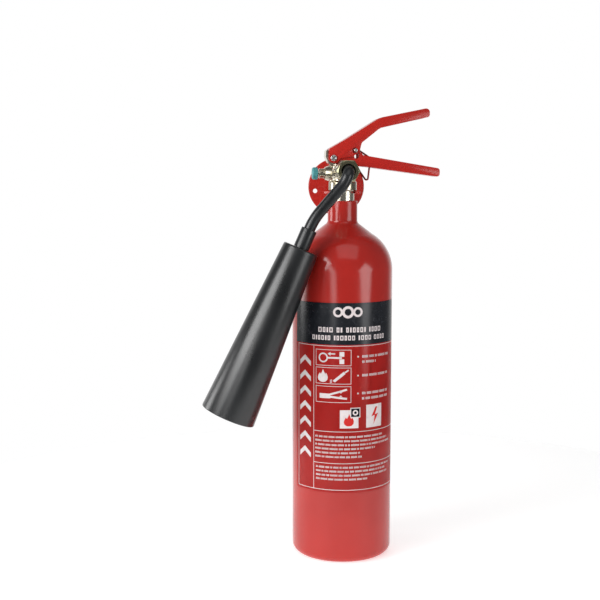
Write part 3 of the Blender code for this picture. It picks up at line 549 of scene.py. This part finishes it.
def print_on(name, shapes, material, lift):
    """A layer of print, a little proud of the label's film."""
    obj = to_object(name, wrapped(shapes, lift))
    obj.data.shade_smooth()
    obj.data.materials.append(material)
    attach(obj, "extinguisher")


# A flat shape is a list of loops of (s, z): its outline and then its holes. s is the
# distance round the cylinder from the front, and z is the height.


def box_shape(s0, z0, s1, z1):
    return [[(s0, z0), (s1, z0), (s1, z1), (s0, z1)]]


def frame_shape(s0, z0, s1, z1, line):
    inner = box_shape(s0 + line, z0 + line, s1 - line, z1 - line)[0]
    return [box_shape(s0, z0, s1, z1)[0], list(reversed(inner))]


def disc_shape(s, z, radius, hole=0.0, steps=36):
    turns = [2 * math.pi * step / steps for step in range(steps)]
    loops = [[(s + radius * math.cos(a), z + radius * math.sin(a)) for a in turns]]
    if hole > 0:
        loops.append([(s + hole * math.cos(a), z + hole * math.sin(a)) for a in reversed(turns)])
    return loops


def stroke_shape(start, end, width):
    """A straight bar of a given width between two points."""
    along = (Vector(end) - Vector(start)).normalized()
    side = Vector((-along.y, along.x)) * width / 2
    ends = (Vector(start), Vector(end))
    return [[tuple(ends[0] - side), tuple(ends[1] - side), tuple(ends[1] + side), tuple(ends[0] + side)]]


def bars(start, end, base, height, source, open_blocks=False):
    """A row of plain rectangles in groups, which stands for a line of print and spells nothing."""
    shapes = []
    s = start
    top = base + height
    left_in_word = source.randint(2, 8)
    while s < end:
        width = height * source.uniform(0.45, 0.75)
        if open_blocks and width > 0.5 * height:
            shapes.append(frame_shape(s, base, s + width, top, 0.2 * height))
        else:
            width = 0.34 * height
            shapes.append(box_shape(s, base, s + width, top))
        s += width + 0.24 * height
        left_in_word -= 1
        if left_in_word == 0:
            s += 0.55 * height
            left_in_word = source.randint(2, 8)
    return shapes


def flame_outline(s, z, size):
    """A plain flame: a drop with a split, leaning tip."""
    drop = [
        (0.00, -0.50), (0.22, -0.46), (0.38, -0.30), (0.42, -0.08), (0.34, 0.12), (0.26, 0.26),
        (0.22, 0.10), (0.12, 0.30), (0.02, 0.52), (-0.06, 0.30), (-0.16, 0.12), (-0.24, 0.24),
        (-0.36, 0.04), (-0.42, -0.16), (-0.36, -0.34), (-0.20, -0.46),
    ]
    return [[(s + size * x, z + size * y) for x, y in drop]]


def symbol_molecule():
    """Three rings in a row."""
    middle_z = 270.4 * MM
    rings = mm((-12.2, 5.2, 2.9), (-1.7, 6.4, 3.6), (8.8, 5.2, 2.9))
    return [disc_shape(s, middle_z, radius, hole, 48) for s, radius, hole in rings]


def pictogram_pin():
    """Pull the pin: a ring on a pin that leaves a bar, and an arrow."""
    z = 222.3
    return [
        disc_shape(-28 * MM, z * MM, 5.2 * MM, 3.7 * MM),
        stroke_shape((-22.8 * MM, z * MM), (-8 * MM, z * MM), 1.8 * MM),
        box_shape(-10.5 * MM, (z + 1.4) * MM, -5.5 * MM, (z + 6.4) * MM),
        box_shape(-10.5 * MM, (z - 6.4) * MM, -5.5 * MM, (z - 1.4) * MM),
        stroke_shape((-20 * MM, (z + 4.2) * MM), (-15 * MM, (z + 4.2) * MM), 1.3 * MM),
        [mm((-20, z + 6.2), (-23, z + 4.2), (-20, z + 2.2))],
    ]


def pictogram_aim():
    """Aim low: a flame on the left and a horn that points at its foot."""
    low = 203.2
    horn = [mm((-17.5, low - 5.2), (-15.2, low - 6.8), (-4.2, low + 2.2), (-6.0, low + 4.6))]
    shapes = [flame_outline(-28.5 * MM, (low - 0.2) * MM, 13.5 * MM), horn]
    for reach in (0, 1, 2):
        start = (-20.5 * MM, (low - 7.2 + 1.2 * reach) * MM)
        shapes.append(stroke_shape(start, (start[0] + 2.2 * MM, start[1] + 0.6 * MM), 0.6 * MM))
    shapes.append(stroke_shape(*mm((-4.8, low + 3.6), (-0.8, low + 6.2)), 1.5 * MM))
    return shapes


def pictogram_squeeze():
    """Squeeze the handles: two levers that close, with arrows towards each other."""
    z = 183.2
    shapes = [
        stroke_shape(*mm((-32, z - 1.5), (-20, z - 1.5)), 5 * MM),
        stroke_shape(*mm((-20.4, z + 0.2), (-2.5, z + 5.6)), 2 * MM),
        stroke_shape(*mm((-20.4, z - 2.2), (-2.5, z - 4.2)), 2 * MM),
    ]
    for tip, sense in ((z + 1.4, -1), (z - 0.6, 1)):
        base = tip - 1.4 * sense
        shapes.append([mm((-10.6, base), (-7.4, base), (-9, tip))])
    return shapes


def strip_marks():
    """A column of plain chevrons up the left strip."""
    left, mid, right = -59.6 * MM, -51.3 * MM, -43.0 * MM
    rise, thick = 6.5 * MM, 5.2 * MM
    shapes = []
    for index in range(7):
        low = (113.5 + 16.4 * index) * MM
        under = [(left, low), (mid, low + rise), (right, low)]
        over = [(s, z + thick) for s, z in reversed(under)]
        shapes.append([under + over])
    return shapes


def make_label():
    half = LABEL_RADIUS * math.asin(LABEL_HIGH.x / LABEL_RADIUS)
    bottom, top = LABEL_LOW.z, LABEL_HIGH.z
    sheet = wrapped([box_shape(-half, bottom, half, top)], -0.02 * MM)
    bmesh.ops.solidify(sheet, geom=sheet.faces[:], thickness=0.2 * MM)
    new_piece("label_sheet", sheet, LABEL_RED, "extinguisher", ["label"], sharp=60)

    band_bottom = 236 * MM
    print_on("label_band", [box_shape(-half, band_bottom, half, top)], BAND_BLACK, 0.02 * MM)

    source = random.Random(7)
    line = 0.55 * MM
    rule_left, rule_right = -62.6 * MM, half - 0.5 * MM
    rule_top, rule_bottom = 234.4 * MM, bottom + 2.5 * MM
    column, column_bottom = -39.4 * MM, bottom + 3 * MM
    pale = [
        box_shape(rule_left, rule_top, rule_right, rule_top + line),
        box_shape(rule_left, column_bottom, rule_left + line, rule_top),
        box_shape(column, column_bottom, column + line, rule_top),
        box_shape(column, 143.3 * MM, rule_right, 143.3 * MM + line),
        box_shape(column, 109.2 * MM, rule_right, 109.2 * MM + line),
        box_shape(rule_left, rule_bottom, rule_right, rule_bottom + line),
    ]
    for low, high in ((213.8, 230.9), (194.4, 212.0), (174.7, 192.2)):
        pale.append(frame_shape(-36.5 * MM, low * MM, 2 * MM, high * MM, 0.5 * MM))
    pale += symbol_molecule() + pictogram_pin() + pictogram_aim() + pictogram_squeeze() + strip_marks()
    pale += bars(-33.6 * MM, 34.6 * MM, 249.2 * MM, 5.2 * MM, source, open_blocks=True)
    pale += bars(-41 * MM, 41.5 * MM, 240.9 * MM, 4.9 * MM, source, open_blocks=True)
    for number, rows in ((0, (222.2, 216.6)), (1, (202.2,)), (2, (183.2, 177.6))):
        pale.append(disc_shape(9.3 * MM, (rows[0] + 1.2) * MM, 0.9 * MM))
        for row, z in enumerate(rows):
            end = 52 if row == 0 else 31 + 10 * number
            pale += bars(14 * MM, end * MM, z * MM, 2.5 * MM, source)
    for row, end in enumerate((41, 50, 55, 30, 12, 14)):
        pale += bars(-37 * MM, end * MM, (137 - 4.3 * row) * MM, 1.9 * MM, source)
    for row, end in enumerate((55, 46, 52, 20)):
        pale += bars(-36 * MM, end * MM, (104.2 - 4.3 * row) * MM, 1.9 * MM, source)
    pale.append(box_shape(-9.9 * MM, 147.4 * MM, 10 * MM, 166.9 * MM))
    pale.append(box_shape(19 * MM, 147 * MM, 40 * MM, 171.5 * MM))
    print_on("label_print_pale", pale, PALE_INK, 0.05 * MM)

    bolt = mm(
        (31, 168.5), (25.5, 158.6), (30, 159.6), (28.2, 150), (35, 161.4), (30.3, 160.4), (33.6, 168.5)
    )
    flame = flame_outline(-0.4 * MM, 156 * MM, 13 * MM)
    print_on("label_print_red", [flame, [bolt]], LABEL_RED, 0.08 * MM)
    inset_edge = box_shape(1.2 * MM, 158.7 * MM, 12 * MM, 169.3 * MM)
    inset = box_shape(2 * MM, 159.5 * MM, 11.2 * MM, 168.5 * MM)
    print_on("label_inset_edge", [inset_edge], PALE_INK, 0.11 * MM)
    print_on("label_inset", [inset], BAND_BLACK, 0.14 * MM)
    print_on("label_inset_mark", [disc_shape(6.6 * MM, 164 * MM, 2.9 * MM, 1.5 * MM)], PALE_INK, 0.17 * MM)
    bonds = []
    for s in (-7.9, 3.5):
        for z in (269.2, 271.6):
            bonds.append(box_shape((s - 0.9) * MM, (z - 0.5) * MM, (s + 0.9) * MM, (z + 0.5) * MM))
    print_on("label_bonds", bonds, PALE_INK, 0.11 * MM)


# ---------------------------------------------------------------- valve


def make_valve_body():
    core_line = mm(
        (0, 425, 0), (13.3, 425, 1.2), (13.3, 406.6, 1), (15.2, 404.8, 0.8),
        (15.2, 395.5, 1.4), (12.5, 395.5, 0.5), (12.5, 385.5, 0), (11.6, 385.5, 0),
        (11.6, 380, 0), (0, 380, 0),
    )
    outlet_line = mm(
        (0, 32, 0), (9.2, 32, 0.8), (9.2, 28, 0.3), (11.5, 28, 1), (11.5, 12.8, 1.2),
        (8.2, 12.6, 0.4), (8.2, 6, 0), (0, 6, 0),
    )
    burst_line = mm(
        (0, 19.5, 0), (6.6, 19.5, 0.6), (9.4, 12.5, 1.5), (9.4, 7, 0), (0, 7, 0),
    )
    ear_half = 8.1 * MM
    ear_line = mm(
        (-12, 421.3, 0), (-6.6, 421.3, 0), (-6.6, 438, 2), (-13.2, 438.6, 1.5),
        (-16.8, 436.6, 0.4), (-16.9, 440, 0.5), (-18.9, 438, 1.5), (-19.3, 431.5, 5),
        (-15.8, 424.5, 3),
    )
    burst_origin = (0, 0, BURST_HEIGHT)
    core = lathe(soft_profile(core_line), steps=80)
    steps = [
        ("UNION", lathe(soft_profile(outlet_line), (0, 0, OUTLET_HEIGHT), -Y_AXIS, 72)),
        ("UNION", lathe(soft_profile(burst_line), burst_origin, -X_AXIS, 64)),
        ("UNION", prism(rounded(ear_line), ear_half)),
        ("DIFFERENCE", rod(5.2 * MM, 411 * MM, 426 * MM, steps=48)),
        ("DIFFERENCE", rod(PIVOT_HOLE, -THROUGH, THROUGH, Y_AXIS, PIVOT, 32)),
        ("DIFFERENCE", rod(4.7 * MM, 13.5 * MM, 21 * MM, -X_AXIS, burst_origin, 40)),
    ]
    body = carve(core, steps, edge_width=0.35 * MM)
    new_piece("valve_casting", body, PLATED_BRASS, "extinguisher", ["valve_body"])


def make_swivel_nut():
    origin = (0, 0, OUTLET_HEIGHT)
    blank, lens = hexagon(22 * MM, NUT_BACK, NUT_FRONT, origin, -Y_AXIS)
    bore_line = [
        (0, NUT_FRONT + 1 * MM, 0),
        (8.6 * MM, NUT_FRONT + 1 * MM, 0),
        (7 * MM, NUT_FRONT - 0.6 * MM, 0),
        (7 * MM, 38.2 * MM, 0),
        (9.5 * MM, 38.2 * MM, 0),
        (9.5 * MM, NUT_BACK - 1 * MM, 0),
        (0, NUT_BACK - 1 * MM, 0),
    ]
    bore = lathe(soft_profile(bore_line), origin, -Y_AXIS, 72)
    nut = carve(blank, [("INTERSECT", lens), ("DIFFERENCE", bore)], edge_width=0.25 * MM)
    new_piece("outlet_nut", nut, OLIVE_ZINC, "extinguisher", ["swivel_nut"])


def make_burst_parts():
    origin = (0, 0, BURST_HEIGHT)
    plug_line = mm(
        (0, 30, 0), (2.3, 30, 0.3), (2.3, 25.7, 0), (5.5, 25.7, 0.5), (5.5, 24.7, 0.2),
        (5.0, 24.5, 0.2), (5.0, 21.0, 0.2), (5.5, 20.8, 0.2), (5.5, 19.8, 0.2), (4.3, 19.8, 0),
        (4.3, 15.7, 0), (0, 15.7, 0),
    )
    vent = rod(2 * MM, -8 * MM, 1 * MM, Y_AXIS, (-22.7 * MM, 0, BURST_HEIGHT), 36)
    plug = carve(lathe(soft_profile(plug_line), origin, -X_AXIS, 60), [("DIFFERENCE", vent)], 0.15 * MM)
    new_piece("burst_plug_turned", plug, PLATED_BRASS, "extinguisher", ["burst_plug"])

    cap_line = mm(
        (0, 33.2, 0), (5.4, 33.1, 1.0), (6.6, 32.0, 0.6), (6.6, 27.2, 0.5), (2.6, 27.2, 0),
        (2.6, 30.4, 0), (0, 30.4, 0),
    )
    flutes, flute_depth = 24, 0.022
    cap = lathe(soft_profile(cap_line), origin, -X_AXIS, 6 * flutes)
    for vertex in cap.verts:
        reach = math.hypot(vertex.co.y, vertex.co.z - BURST_HEIGHT)
        if reach > 6 * MM:
            turn = math.atan2(vertex.co.z - BURST_HEIGHT, vertex.co.y)
            share = 1 - flute_depth * (1 + math.cos(flutes * turn))
            vertex.co.y *= share
            vertex.co.z = BURST_HEIGHT + (vertex.co.z - BURST_HEIGHT) * share
    new_piece("burst_cap_moulded", cap, TEAL_PLASTIC, "extinguisher", ["burst_cap"], sharp=50)


# ---------------------------------------------------------------- handles, pin and ring


def runs_across(edge):
    return abs(edge.verts[0].co.y - edge.verts[1].co.y) > 1 * MM


def pin_slot():
    """The arc that the safety pin sweeps through the handle as the lever turns."""
    arm = PIN_CENTRE - PIVOT
    reach = math.hypot(arm.x, arm.z)
    start = math.atan2(arm.z, arm.x)
    end = start - LEVER_TRAVEL
    centre = Vector((PIVOT.x, PIVOT.z, 0))
    half = PIN_RADIUS + SLOT_CLEARANCE
    points = []
    for radius, first, last in ((reach + half, end, start), (reach - half, start, end)):
        for step in range(9):
            turn = first + (last - first) * step / 8
            points.append(centre + radius * Vector((math.cos(turn), math.sin(turn), 0)))
        cap = centre + reach * Vector((math.cos(last), math.sin(last), 0))
        sense = 0 if last == start else math.pi
        for step in range(1, 8):
            turn = last + sense + math.pi * step / 8
            points.append(cap + half * Vector((math.cos(turn), math.sin(turn), 0)))
    return prism(points, 30 * MM)


def make_carry_handle():
    """A pressed channel with its web underneath, rounded where the sides turn up."""
    rear = PIVOT.x - 5.1 * MM
    sheet = 1.6 * MM
    web_bottom = 425.3 * MM
    web_top = web_bottom + sheet
    bend_x, bend_z = 17.2 * MM, 422.1 * MM  # where the grip starts to slope down
    tip_z = 410.5 * MM
    fall = (bend_z - tip_z) / (HANDLE_TIP - bend_x)
    outline = [
        (rear, web_bottom, 5 * MM),
        (13.5 * MM, web_bottom, 1 * MM),
        (bend_x, bend_z, 1 * MM),
        (HANDLE_TIP, tip_z, 3 * MM),
        (HANDLE_TIP, 419.6 * MM, 3 * MM),
        (20.3 * MM, 433.6 * MM, 1 * MM),
        (18.7 * MM, 436.2 * MM, 0.6 * MM),
        (17.3 * MM, 436.2 * MM, 0.3 * MM),
        (16.9 * MM, 443 * MM, 2.5 * MM),
        (7.4 * MM, 443 * MM, 2.5 * MM),
        (5.5 * MM, 435.6 * MM, 2 * MM),
        (rear, 435.6 * MM, 5 * MM),
    ]
    trough = [
        (-30 * MM, 415 * MM, 0),
        (-6.3 * MM, 415 * MM, 0),
        (-6.3 * MM, web_top, 0),
        (14.2 * MM, web_top, 1 * MM),
        (17.9 * MM, 423.7 * MM, 1 * MM),
        (HANDLE_TIP - sheet, 412.3 * MM, 2 * MM),
        (HANDLE_TIP - sheet, 460 * MM, 0),
        (-30 * MM, 460 * MM, 0),
    ]

    def under_edge(point, edge):
        underside = bend_z - (point.x - bend_x) * fall
        return not runs_across(edge) and point.x > 18 * MM and point.z < underside + 1.5 * MM

    def trough_edge(point, edge):
        along = 14 * MM < point.x < HANDLE_TIP - 2 * MM
        return not runs_across(edge) and along and point.z < 425 * MM

    solid = prism(rounded(outline), HANDLE_HALF_WIDTH)
    round_edges(solid, under_edge, 2.2 * MM)
    hollow = prism(rounded(trough), HANDLE_HALF_WIDTH - sheet)
    round_edges(hollow, trough_edge, 1 * MM)
    steps = [
        ("DIFFERENCE", hollow),
        ("DIFFERENCE", pin_slot()),
        ("DIFFERENCE", rod(PIVOT_HOLE, -THROUGH, THROUGH, Y_AXIS, PIVOT, 32)),
        ("DIFFERENCE", rod(5.3 * MM, 420 * MM, 430 * MM, steps=40)),  # for the valve stem
    ]
    handle = carve(solid, steps, edge_width=0.3 * MM)
    new_piece("carry_handle_pressed", handle, HANDLE_RED, "extinguisher", ["carry_handle"])


def make_lever():
    """A pressed channel with its web on top, rounded where the sides turn down."""
    rear = PIVOT.x - 5.2 * MM
    sheet = 1.5 * MM
    top_line = [*mm((-15.3, 440.5), (1.2, 450), (38, 473)), (LEVER_TIP, 484 * MM)]
    outline = [
        (rear, 425.2 * MM, 5 * MM),
        (-7 * MM, 425.2 * MM, 3 * MM),
        (-4.8 * MM, 429.9 * MM, 1.5 * MM),
        (9.3 * MM, 432.3 * MM, 1 * MM),
        (16.5 * MM, 436.8 * MM, 0.8 * MM),
        (17.8 * MM, 443.1 * MM, 1.5 * MM),
        (18.9 * MM, 446.7 * MM, 2 * MM),
        (38.5 * MM, 462.3 * MM, 15 * MM),
        (LEVER_TIP, 474.4 * MM, 3 * MM),
        (*top_line[3], 4 * MM),
        (*top_line[2], 20 * MM),
        (*top_line[1], 30 * MM),
        (*top_line[0], 1 * MM),
        (rear, 438 * MM, 1 * MM),
    ]
    hollow_line = [
        (-40 * MM, 424.5 * MM, 0),
        (1.2 * MM, 448.2 * MM, 30 * MM),
        (38.3 * MM, 471.4 * MM, 19 * MM),
        (LEVER_TIP + 10 * MM, 484.5 * MM, 0),
        (LEVER_TIP + 10 * MM, 400 * MM, 0),
        (-40 * MM, 400 * MM, 0),
    ]

    def below_top(point):
        """How far a point is below the straight lines of the lever's upper side."""
        for (x0, z0), (x1, z1) in zip(top_line, top_line[1:]):
            if point.x < x1:
                break
        return z0 + (point.x - x0) * (z1 - z0) / (x1 - x0) - point.z

    def top_edge(point, edge):
        along = -13 * MM < point.x < 90 * MM
        return not runs_across(edge) and along and below_top(point) < 1.8 * MM

    def hollow_edge(point, edge):
        along = -38 * MM < point.x < LEVER_TIP + 9 * MM
        return not runs_across(edge) and along and below_top(point) < 4 * MM

    solid = prism(rounded(outline), LEVER_HALF_WIDTH)
    round_edges(solid, top_edge, 2.2 * MM)
    hollow = prism(rounded(hollow_line), LEVER_HALF_WIDTH - sheet)
    round_edges(hollow, hollow_edge, 1 * MM)
    steps = [
        ("DIFFERENCE", hollow),
        ("DIFFERENCE", rod(PIVOT_HOLE, -THROUGH, THROUGH, Y_AXIS, PIVOT, 32)),
        ("DIFFERENCE", rod(3.1 * MM, -THROUGH, THROUGH, Y_AXIS, (11.5 * MM, 0, PIN_CENTRE.z), 36)),
    ]
    lever = carve(solid, steps, edge_width=0.3 * MM)
    new_piece("operating_lever_pressed", lever, HANDLE_RED, "lever", ["operating_lever"])


def make_rivet():
    head_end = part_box("lever_pivot_rivet")[1].y
    head_start = LEVER_HALF_WIDTH + 0.3 * MM
    half = [
        (0, head_end - 1.1 * MM, 0),
        (1.2 * MM, head_end - 1.1 * MM, 0.1 * MM),
        (1.6 * MM, head_end, 0.3 * MM),
        (3.4 * MM, head_end, 0.9 * MM),
        (3.4 * MM, head_start, 0.1 * MM),
        (2.3 * MM, head_start, 0),
    ]
    line = soft_profile(half)
    line += [(radius, -height) for radius, height in reversed(line)]
    rivet = lathe(line, PIVOT, Y_AXIS, 48)
    replaced = ["lever_pivot_rivet"]
    new_piece("lever_rivet_turned", rivet, BRIGHT_STEEL, "extinguisher", replaced)


def make_pin_and_ring():
    low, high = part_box("safety_pin")
    head_start = LEVER_HALF_WIDTH + 0.6 * MM
    pin_line = [
        (0, high.y, 0),
        (3.6 * MM, high.y, 1.2 * MM),
        (3.6 * MM, head_start, 0.5 * MM),
        (PIN_RADIUS, head_start, 0.1 * MM),
        (PIN_RADIUS, low.y, 1.2 * MM),
        (0, low.y, 0),
    ]
    eye = rod(1.4 * MM, -8 * MM, 8 * MM, RING_AXIS, RING_EYE, 28)
    pin = carve(lathe(soft_profile(pin_line), PIN_CENTRE, Y_AXIS, 48), [("DIFFERENCE", eye)], 0.12 * MM)
    new_piece("safety_pin_turned", pin, BRIGHT_STEEL, "safety_pin", ["safety_pin"])

    wide, bend, wire_radius = 5.3 * MM, 1.6 * MM, 1 * MM
    corners = [
        (*(RING_EYE - RING_AXIS * wide), bend),
        (29.9 * MM, RING_EYE.y, 404.4 * MM, 1.8 * MM),
        (32.9 * MM, RING_EYE.y, 431 * MM, 2.5 * MM),
        (*(RING_EYE + RING_AXIS * wide), bend),
    ]
    ring = sweep(rounded(corners, steps=8), wire_radius, sides=16, closed=True)
    new_piece("pull_ring_bent", ring, RING_WIRE, "pull_ring", ["pull_ring"], sharp=60)


# ---------------------------------------------------------------- discharge tube and horn


def horn_point(distance):
    return HORN_TOP + distance * HORN_DOWN


def horn_lathe(corners, steps, rounding=4):
    return lathe(soft_profile(corners, rounding), HORN_TOP, HORN_DOWN, steps)


def make_discharge_tube():
    origin = (0, 0, OUTLET_HEIGHT)
    ferrule_line = mm(
        (6.3, 34.7, 0), (6.3, 37.9, 0.2), (9.2, 37.9, 0.3), (9.2, 33.7, 0.3), (4.2, 33.7, 0.2),
        (4.2, 34.7, 0),
    )
    ferrule = lathe(soft_profile(ferrule_line), origin, -Y_AXIS, 60)
    new_piece("swivel_ferrule_turned", ferrule, TUBE_BLACK, "horn", ["swivel_ferrule"])

    corners = [
        (0, -35 * MM, OUTLET_HEIGHT, 0),
        (0, HORN_PLANE, OUTLET_HEIGHT, 7.6 * MM),
        (-4.9 * MM, HORN_PLANE, OUTLET_HEIGHT - 12.2 * MM, 30 * MM),
        (*horn_point(-COLLAR_LENGTH - 12 * MM), 70 * MM),
        (*horn_point(12 * MM), 0),
    ]
    tube = sweep(rounded(corners, closed=False, steps=16), TUBE_RADIUS, sides=36)
    new_piece("discharge_tube_bent", tube, TUBE_BLACK, "horn", ["discharge_tube"], sharp=50)


def make_horn():
    collar_line = [
        (TUBE_HOLE, -0.3 * MM, 0),
        (TUBE_HOLE, -COLLAR_LENGTH, 0.2 * MM),
        (8.2 * MM, -COLLAR_LENGTH, 0.7 * MM),
        (8.2 * MM, -0.3 * MM, 0.2 * MM),
    ]
    collar = horn_lathe(collar_line, 60)
    new_piece("horn_collar_moulded", collar, TUBE_BLACK, "horn", ["horn_collar"])

    wall, rim, crown = 2.2 * MM, 2.6 * MM, 4 * MM
    horn_line = [
        (TUBE_HOLE, crown, 0),
        (TUBE_HOLE, 0, 0.3 * MM),
        (HORN_TOP_RADIUS, 0, 1.6 * MM),
        (HORN_MOUTH_RADIUS, HORN_LENGTH, 0.9 * MM),
        (HORN_MOUTH_RADIUS - rim, HORN_LENGTH, 0.9 * MM),
        (HORN_MOUTH_RADIUS - rim, HORN_LENGTH - 6 * MM, 3 * MM),
        (HORN_TOP_RADIUS - wall, crown, 0.6 * MM),
    ]
    horn = horn_lathe(horn_line, 112, 5)
    new_piece("horn_moulded", horn, HORN_BLACK, "horn", ["horn"])


# ---------------------------------------------------------------- wall hook


def make_wall_hook():
    radius = (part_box("hook_plate")[1].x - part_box("hook_plate")[0].x) / 2
    hole_circle, hole_radius, first_hole = 24.5 * MM, 2.5 * MM, 191.5
    depth = HOOK_BACK - HOOK_FRONT
    plate_line = [
        (0, 0, 0),
        (radius, 0, 0.3 * MM),
        (radius, -depth, 0.9 * MM),
        (0, -depth, 0),
    ]
    face = Vector((HOOK_CENTRE.x, HOOK_BACK, HOOK_CENTRE.z))
    plate = lathe(soft_profile(plate_line), face, Y_AXIS, 96)
    steps = []
    for index in range(3):
        turn = math.radians(first_hole + 120 * index)
        centre = face + hole_circle * Vector((math.cos(turn), 0, math.sin(turn)))
        steps.append(("DIFFERENCE", rod(hole_radius, -THROUGH, THROUGH, Y_AXIS, centre, 32)))
    plate = carve(plate, steps, 0.2 * MM)
    new_piece("hook_plate_pressed", plate, HANDLE_RED, "wall_hook", ["hook_plate"])

    inner, outer, stem = 12.9 * MM, 18.5 * MM, 12 * MM
    tip = FORK_LOW.y
    tip_radius = (outer - inner) / 2 - 0.1 * MM
    end = FORK_HIGH.y
    right = [
        (inner, tip, tip_radius),
        (outer, tip, tip_radius),
        (outer, 14 * MM, 20 * MM),
        (stem, end - 6 * MM, 12 * MM),
        (stem, end, 0),
    ]
    left = [(-x, y, r) for x, y, r in reversed(right)]
    throat = [(x, y, 0) for x, y in arc((0, 0), inner, math.pi, 0, 24)]
    fork = prism(rounded(right + left + throat), (FORK_HIGH.z - FORK_LOW.z) / 2)
    lift = Matrix.Translation((0, 0, (FORK_LOW.z + FORK_HIGH.z) / 2))
    lay_flat = lift @ Matrix.Rotation(math.radians(-90), 4, "X")
    bmesh.ops.transform(fork, matrix=lay_flat, verts=fork.verts)

    def level_edge(point, edge):
        return abs(edge.verts[0].co.z - edge.verts[1].co.z) < 0.1 * MM

    round_edges(fork, level_edge, 0.35 * MM, 2)
    new_piece("hook_fork_pressed", fork, HANDLE_RED, "wall_hook", ["hook_fork"])


# ---------------------------------------------------------------- CAD nodes that stay


def finish_inner_nodes():
    """Pieces whose CAD shape is right keep it and take a finished material."""
    kept = {
        "neck_seal_ring": SEAL_RUBBER,
        "gland_nut": PLATED_BRASS,
        "stem_packing_ring": SEAL_RUBBER,
        "burst_disc": BRIGHT_STEEL,
        "burst_washer": BRIGHT_STEEL,
        "spring_seat": PLATED_BRASS,
        "dip_tube": BRIGHT_STEEL,
        "outlet_seal": WHITE_NYLON,
        "valve_stem": BRIGHT_STEEL,
        "seat_disc": WHITE_NYLON,
        "seat_carrier": PLATED_BRASS,
        "horn_lock_nut": BRIGHT_STEEL,
        "gas_nozzle": PLATED_BRASS,
    }
    for node, material in kept.items():
        obj = frame["nodes"][node]
        obj.data.materials.clear()
        obj.data.materials.append(material)


def make_closing_spring():
    """The coil rides on the stem; the real one shortens as the stem comes down on it, but here it keeps its
    CAD shape.
    """
    wire = bmesh.new()
    wire.from_mesh(frame["nodes"]["closing_spring"].data)
    spring = new_piece("closing_spring_coil", wire, BRIGHT_STEEL, "stem", ["closing_spring"])
    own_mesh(spring)


# ---------------------------------------------------------------- stage, light and camera


def make_stage():
    surface = Surface("pale floor", 0.6, Emission_Strength=0.55)
    surface.shader.inputs["Emission Color"].default_value = (1, 1, 1, 1)
    cloudy = surface.ramp(surface.noise(3, detail=3), (0.3, 0.0), (0.7, 1.0))
    surface.colour(surface.mix(cloudy, (0.86, 0.86, 0.86), (0.88, 0.88, 0.88)))
    shape = bmesh.new()
    bmesh.ops.create_circle(shape, cap_ends=True, segments=96, radius=0.6)
    floor = to_object("floor", shape)
    floor.data.materials.append(surface.material)

    # The backdrop is white from every side; what the object reflects is a dim room with a
    # white wall behind it.
    world = bpy.data.worlds.new("studio")
    world.use_nodes = True
    tree = world.node_tree
    direction = tree.nodes.new("ShaderNodeTexCoord")
    split = tree.nodes.new("ShaderNodeSeparateXYZ")
    level = tree.nodes.new("ShaderNodeMapRange")
    dim, white = 0.16, 1.0
    wall_starts, wall_full = 0.5, 0.85
    level.inputs["From Min"].default_value = wall_starts
    level.inputs["From Max"].default_value = wall_full
    level.inputs["To Min"].default_value = dim
    level.inputs["To Max"].default_value = white
    seen = tree.nodes.new("ShaderNodeLightPath")
    brighter = tree.nodes.new("ShaderNodeMath")
    brighter.operation = "MAXIMUM"
    tree.links.new(direction.outputs["Generated"], split.inputs["Vector"])
    tree.links.new(split.outputs["Y"], level.inputs["Value"])
    background = tree.nodes["Background"]
    background.inputs["Color"].default_value = (1, 1, 1, 1)
    tree.links.new(level.outputs["Result"], brighter.inputs[0])
    tree.links.new(seen.outputs["Is Camera Ray"], brighter.inputs[1])
    tree.links.new(brighter.outputs["Value"], background.inputs["Strength"])
    bpy.context.scene.world = world
    bpy.context.scene.view_settings.view_transform = "Standard"


def area_light(name, azimuth, distance, height, width, tall, power):
    """A softbox that faces the object from a compass angle; 0 is in front, positive to the right."""
    light = bpy.data.lights.new(name, "AREA")
    light.shape = "RECTANGLE"
    light.size = width
    light.size_y = tall
    light.energy = power
    obj = bpy.data.objects.new(name, light)
    bpy.context.scene.collection.objects.link(obj)
    turn = math.radians(azimuth)
    obj.location = (distance * math.sin(turn), -distance * math.cos(turn), height)
    target = Vector((0, 0, 0.27))
    obj.rotation_euler = (target - obj.location).to_track_quat("-Z", "Z").to_euler()


def make_lights():
    #                           azimuth  distance  height  width  tall  power
    area_light("softbox_right",      46,      1.3,   0.33,  0.58, 0.62,   4.2)
    area_light("strip_left",        -31,      1.3,   0.33,  0.24, 0.62,   1.5)
    area_light("softbox_left",     -105,      1.3,   0.34,  0.36, 0.50,   3.2)
    area_light("softbox_high",      -58,      1.2,   0.74,  0.66, 0.84,  11.5)
    area_light("top",                10,      0.9,   1.60,  1.20, 1.20,   4.0)


def make_camera():
    """The lens sees the object from slightly left of its front, a little above the valve's foot."""
    camera = bpy.data.cameras.new("camera")
    camera.sensor_width = 36
    camera.lens = 66.62
    obj = bpy.data.objects.new("camera", camera)
    bpy.context.scene.collection.objects.link(obj)
    azimuth = math.radians(-8.424)
    distance = 1.2016
    height = 0.4057
    yaw = azimuth + math.radians(2.184)  # it looks a little to the left of the cylinder's axis
    pitch = math.radians(6.096)
    forward = Vector((-math.sin(yaw) * math.cos(pitch), math.cos(yaw) * math.cos(pitch), -math.sin(pitch)))
    right = Vector((math.cos(yaw), math.sin(yaw), 0))
    up = right.cross(forward)
    place = Matrix((right, up, -forward)).transposed().to_4x4()
    place.translation = (math.sin(azimuth) * distance, -math.cos(azimuth) * distance, height)
    obj.matrix_world = place
    bpy.context.scene.camera = obj


make_camera()
make_stage()
make_lights()
make_cylinder()
make_label()
make_valve_body()
make_swivel_nut()
make_burst_parts()
make_carry_handle()
make_lever()
make_rivet()
make_pin_and_ring()
make_discharge_tube()
make_horn()
make_wall_hook()
finish_inner_nodes()
make_closing_spring()
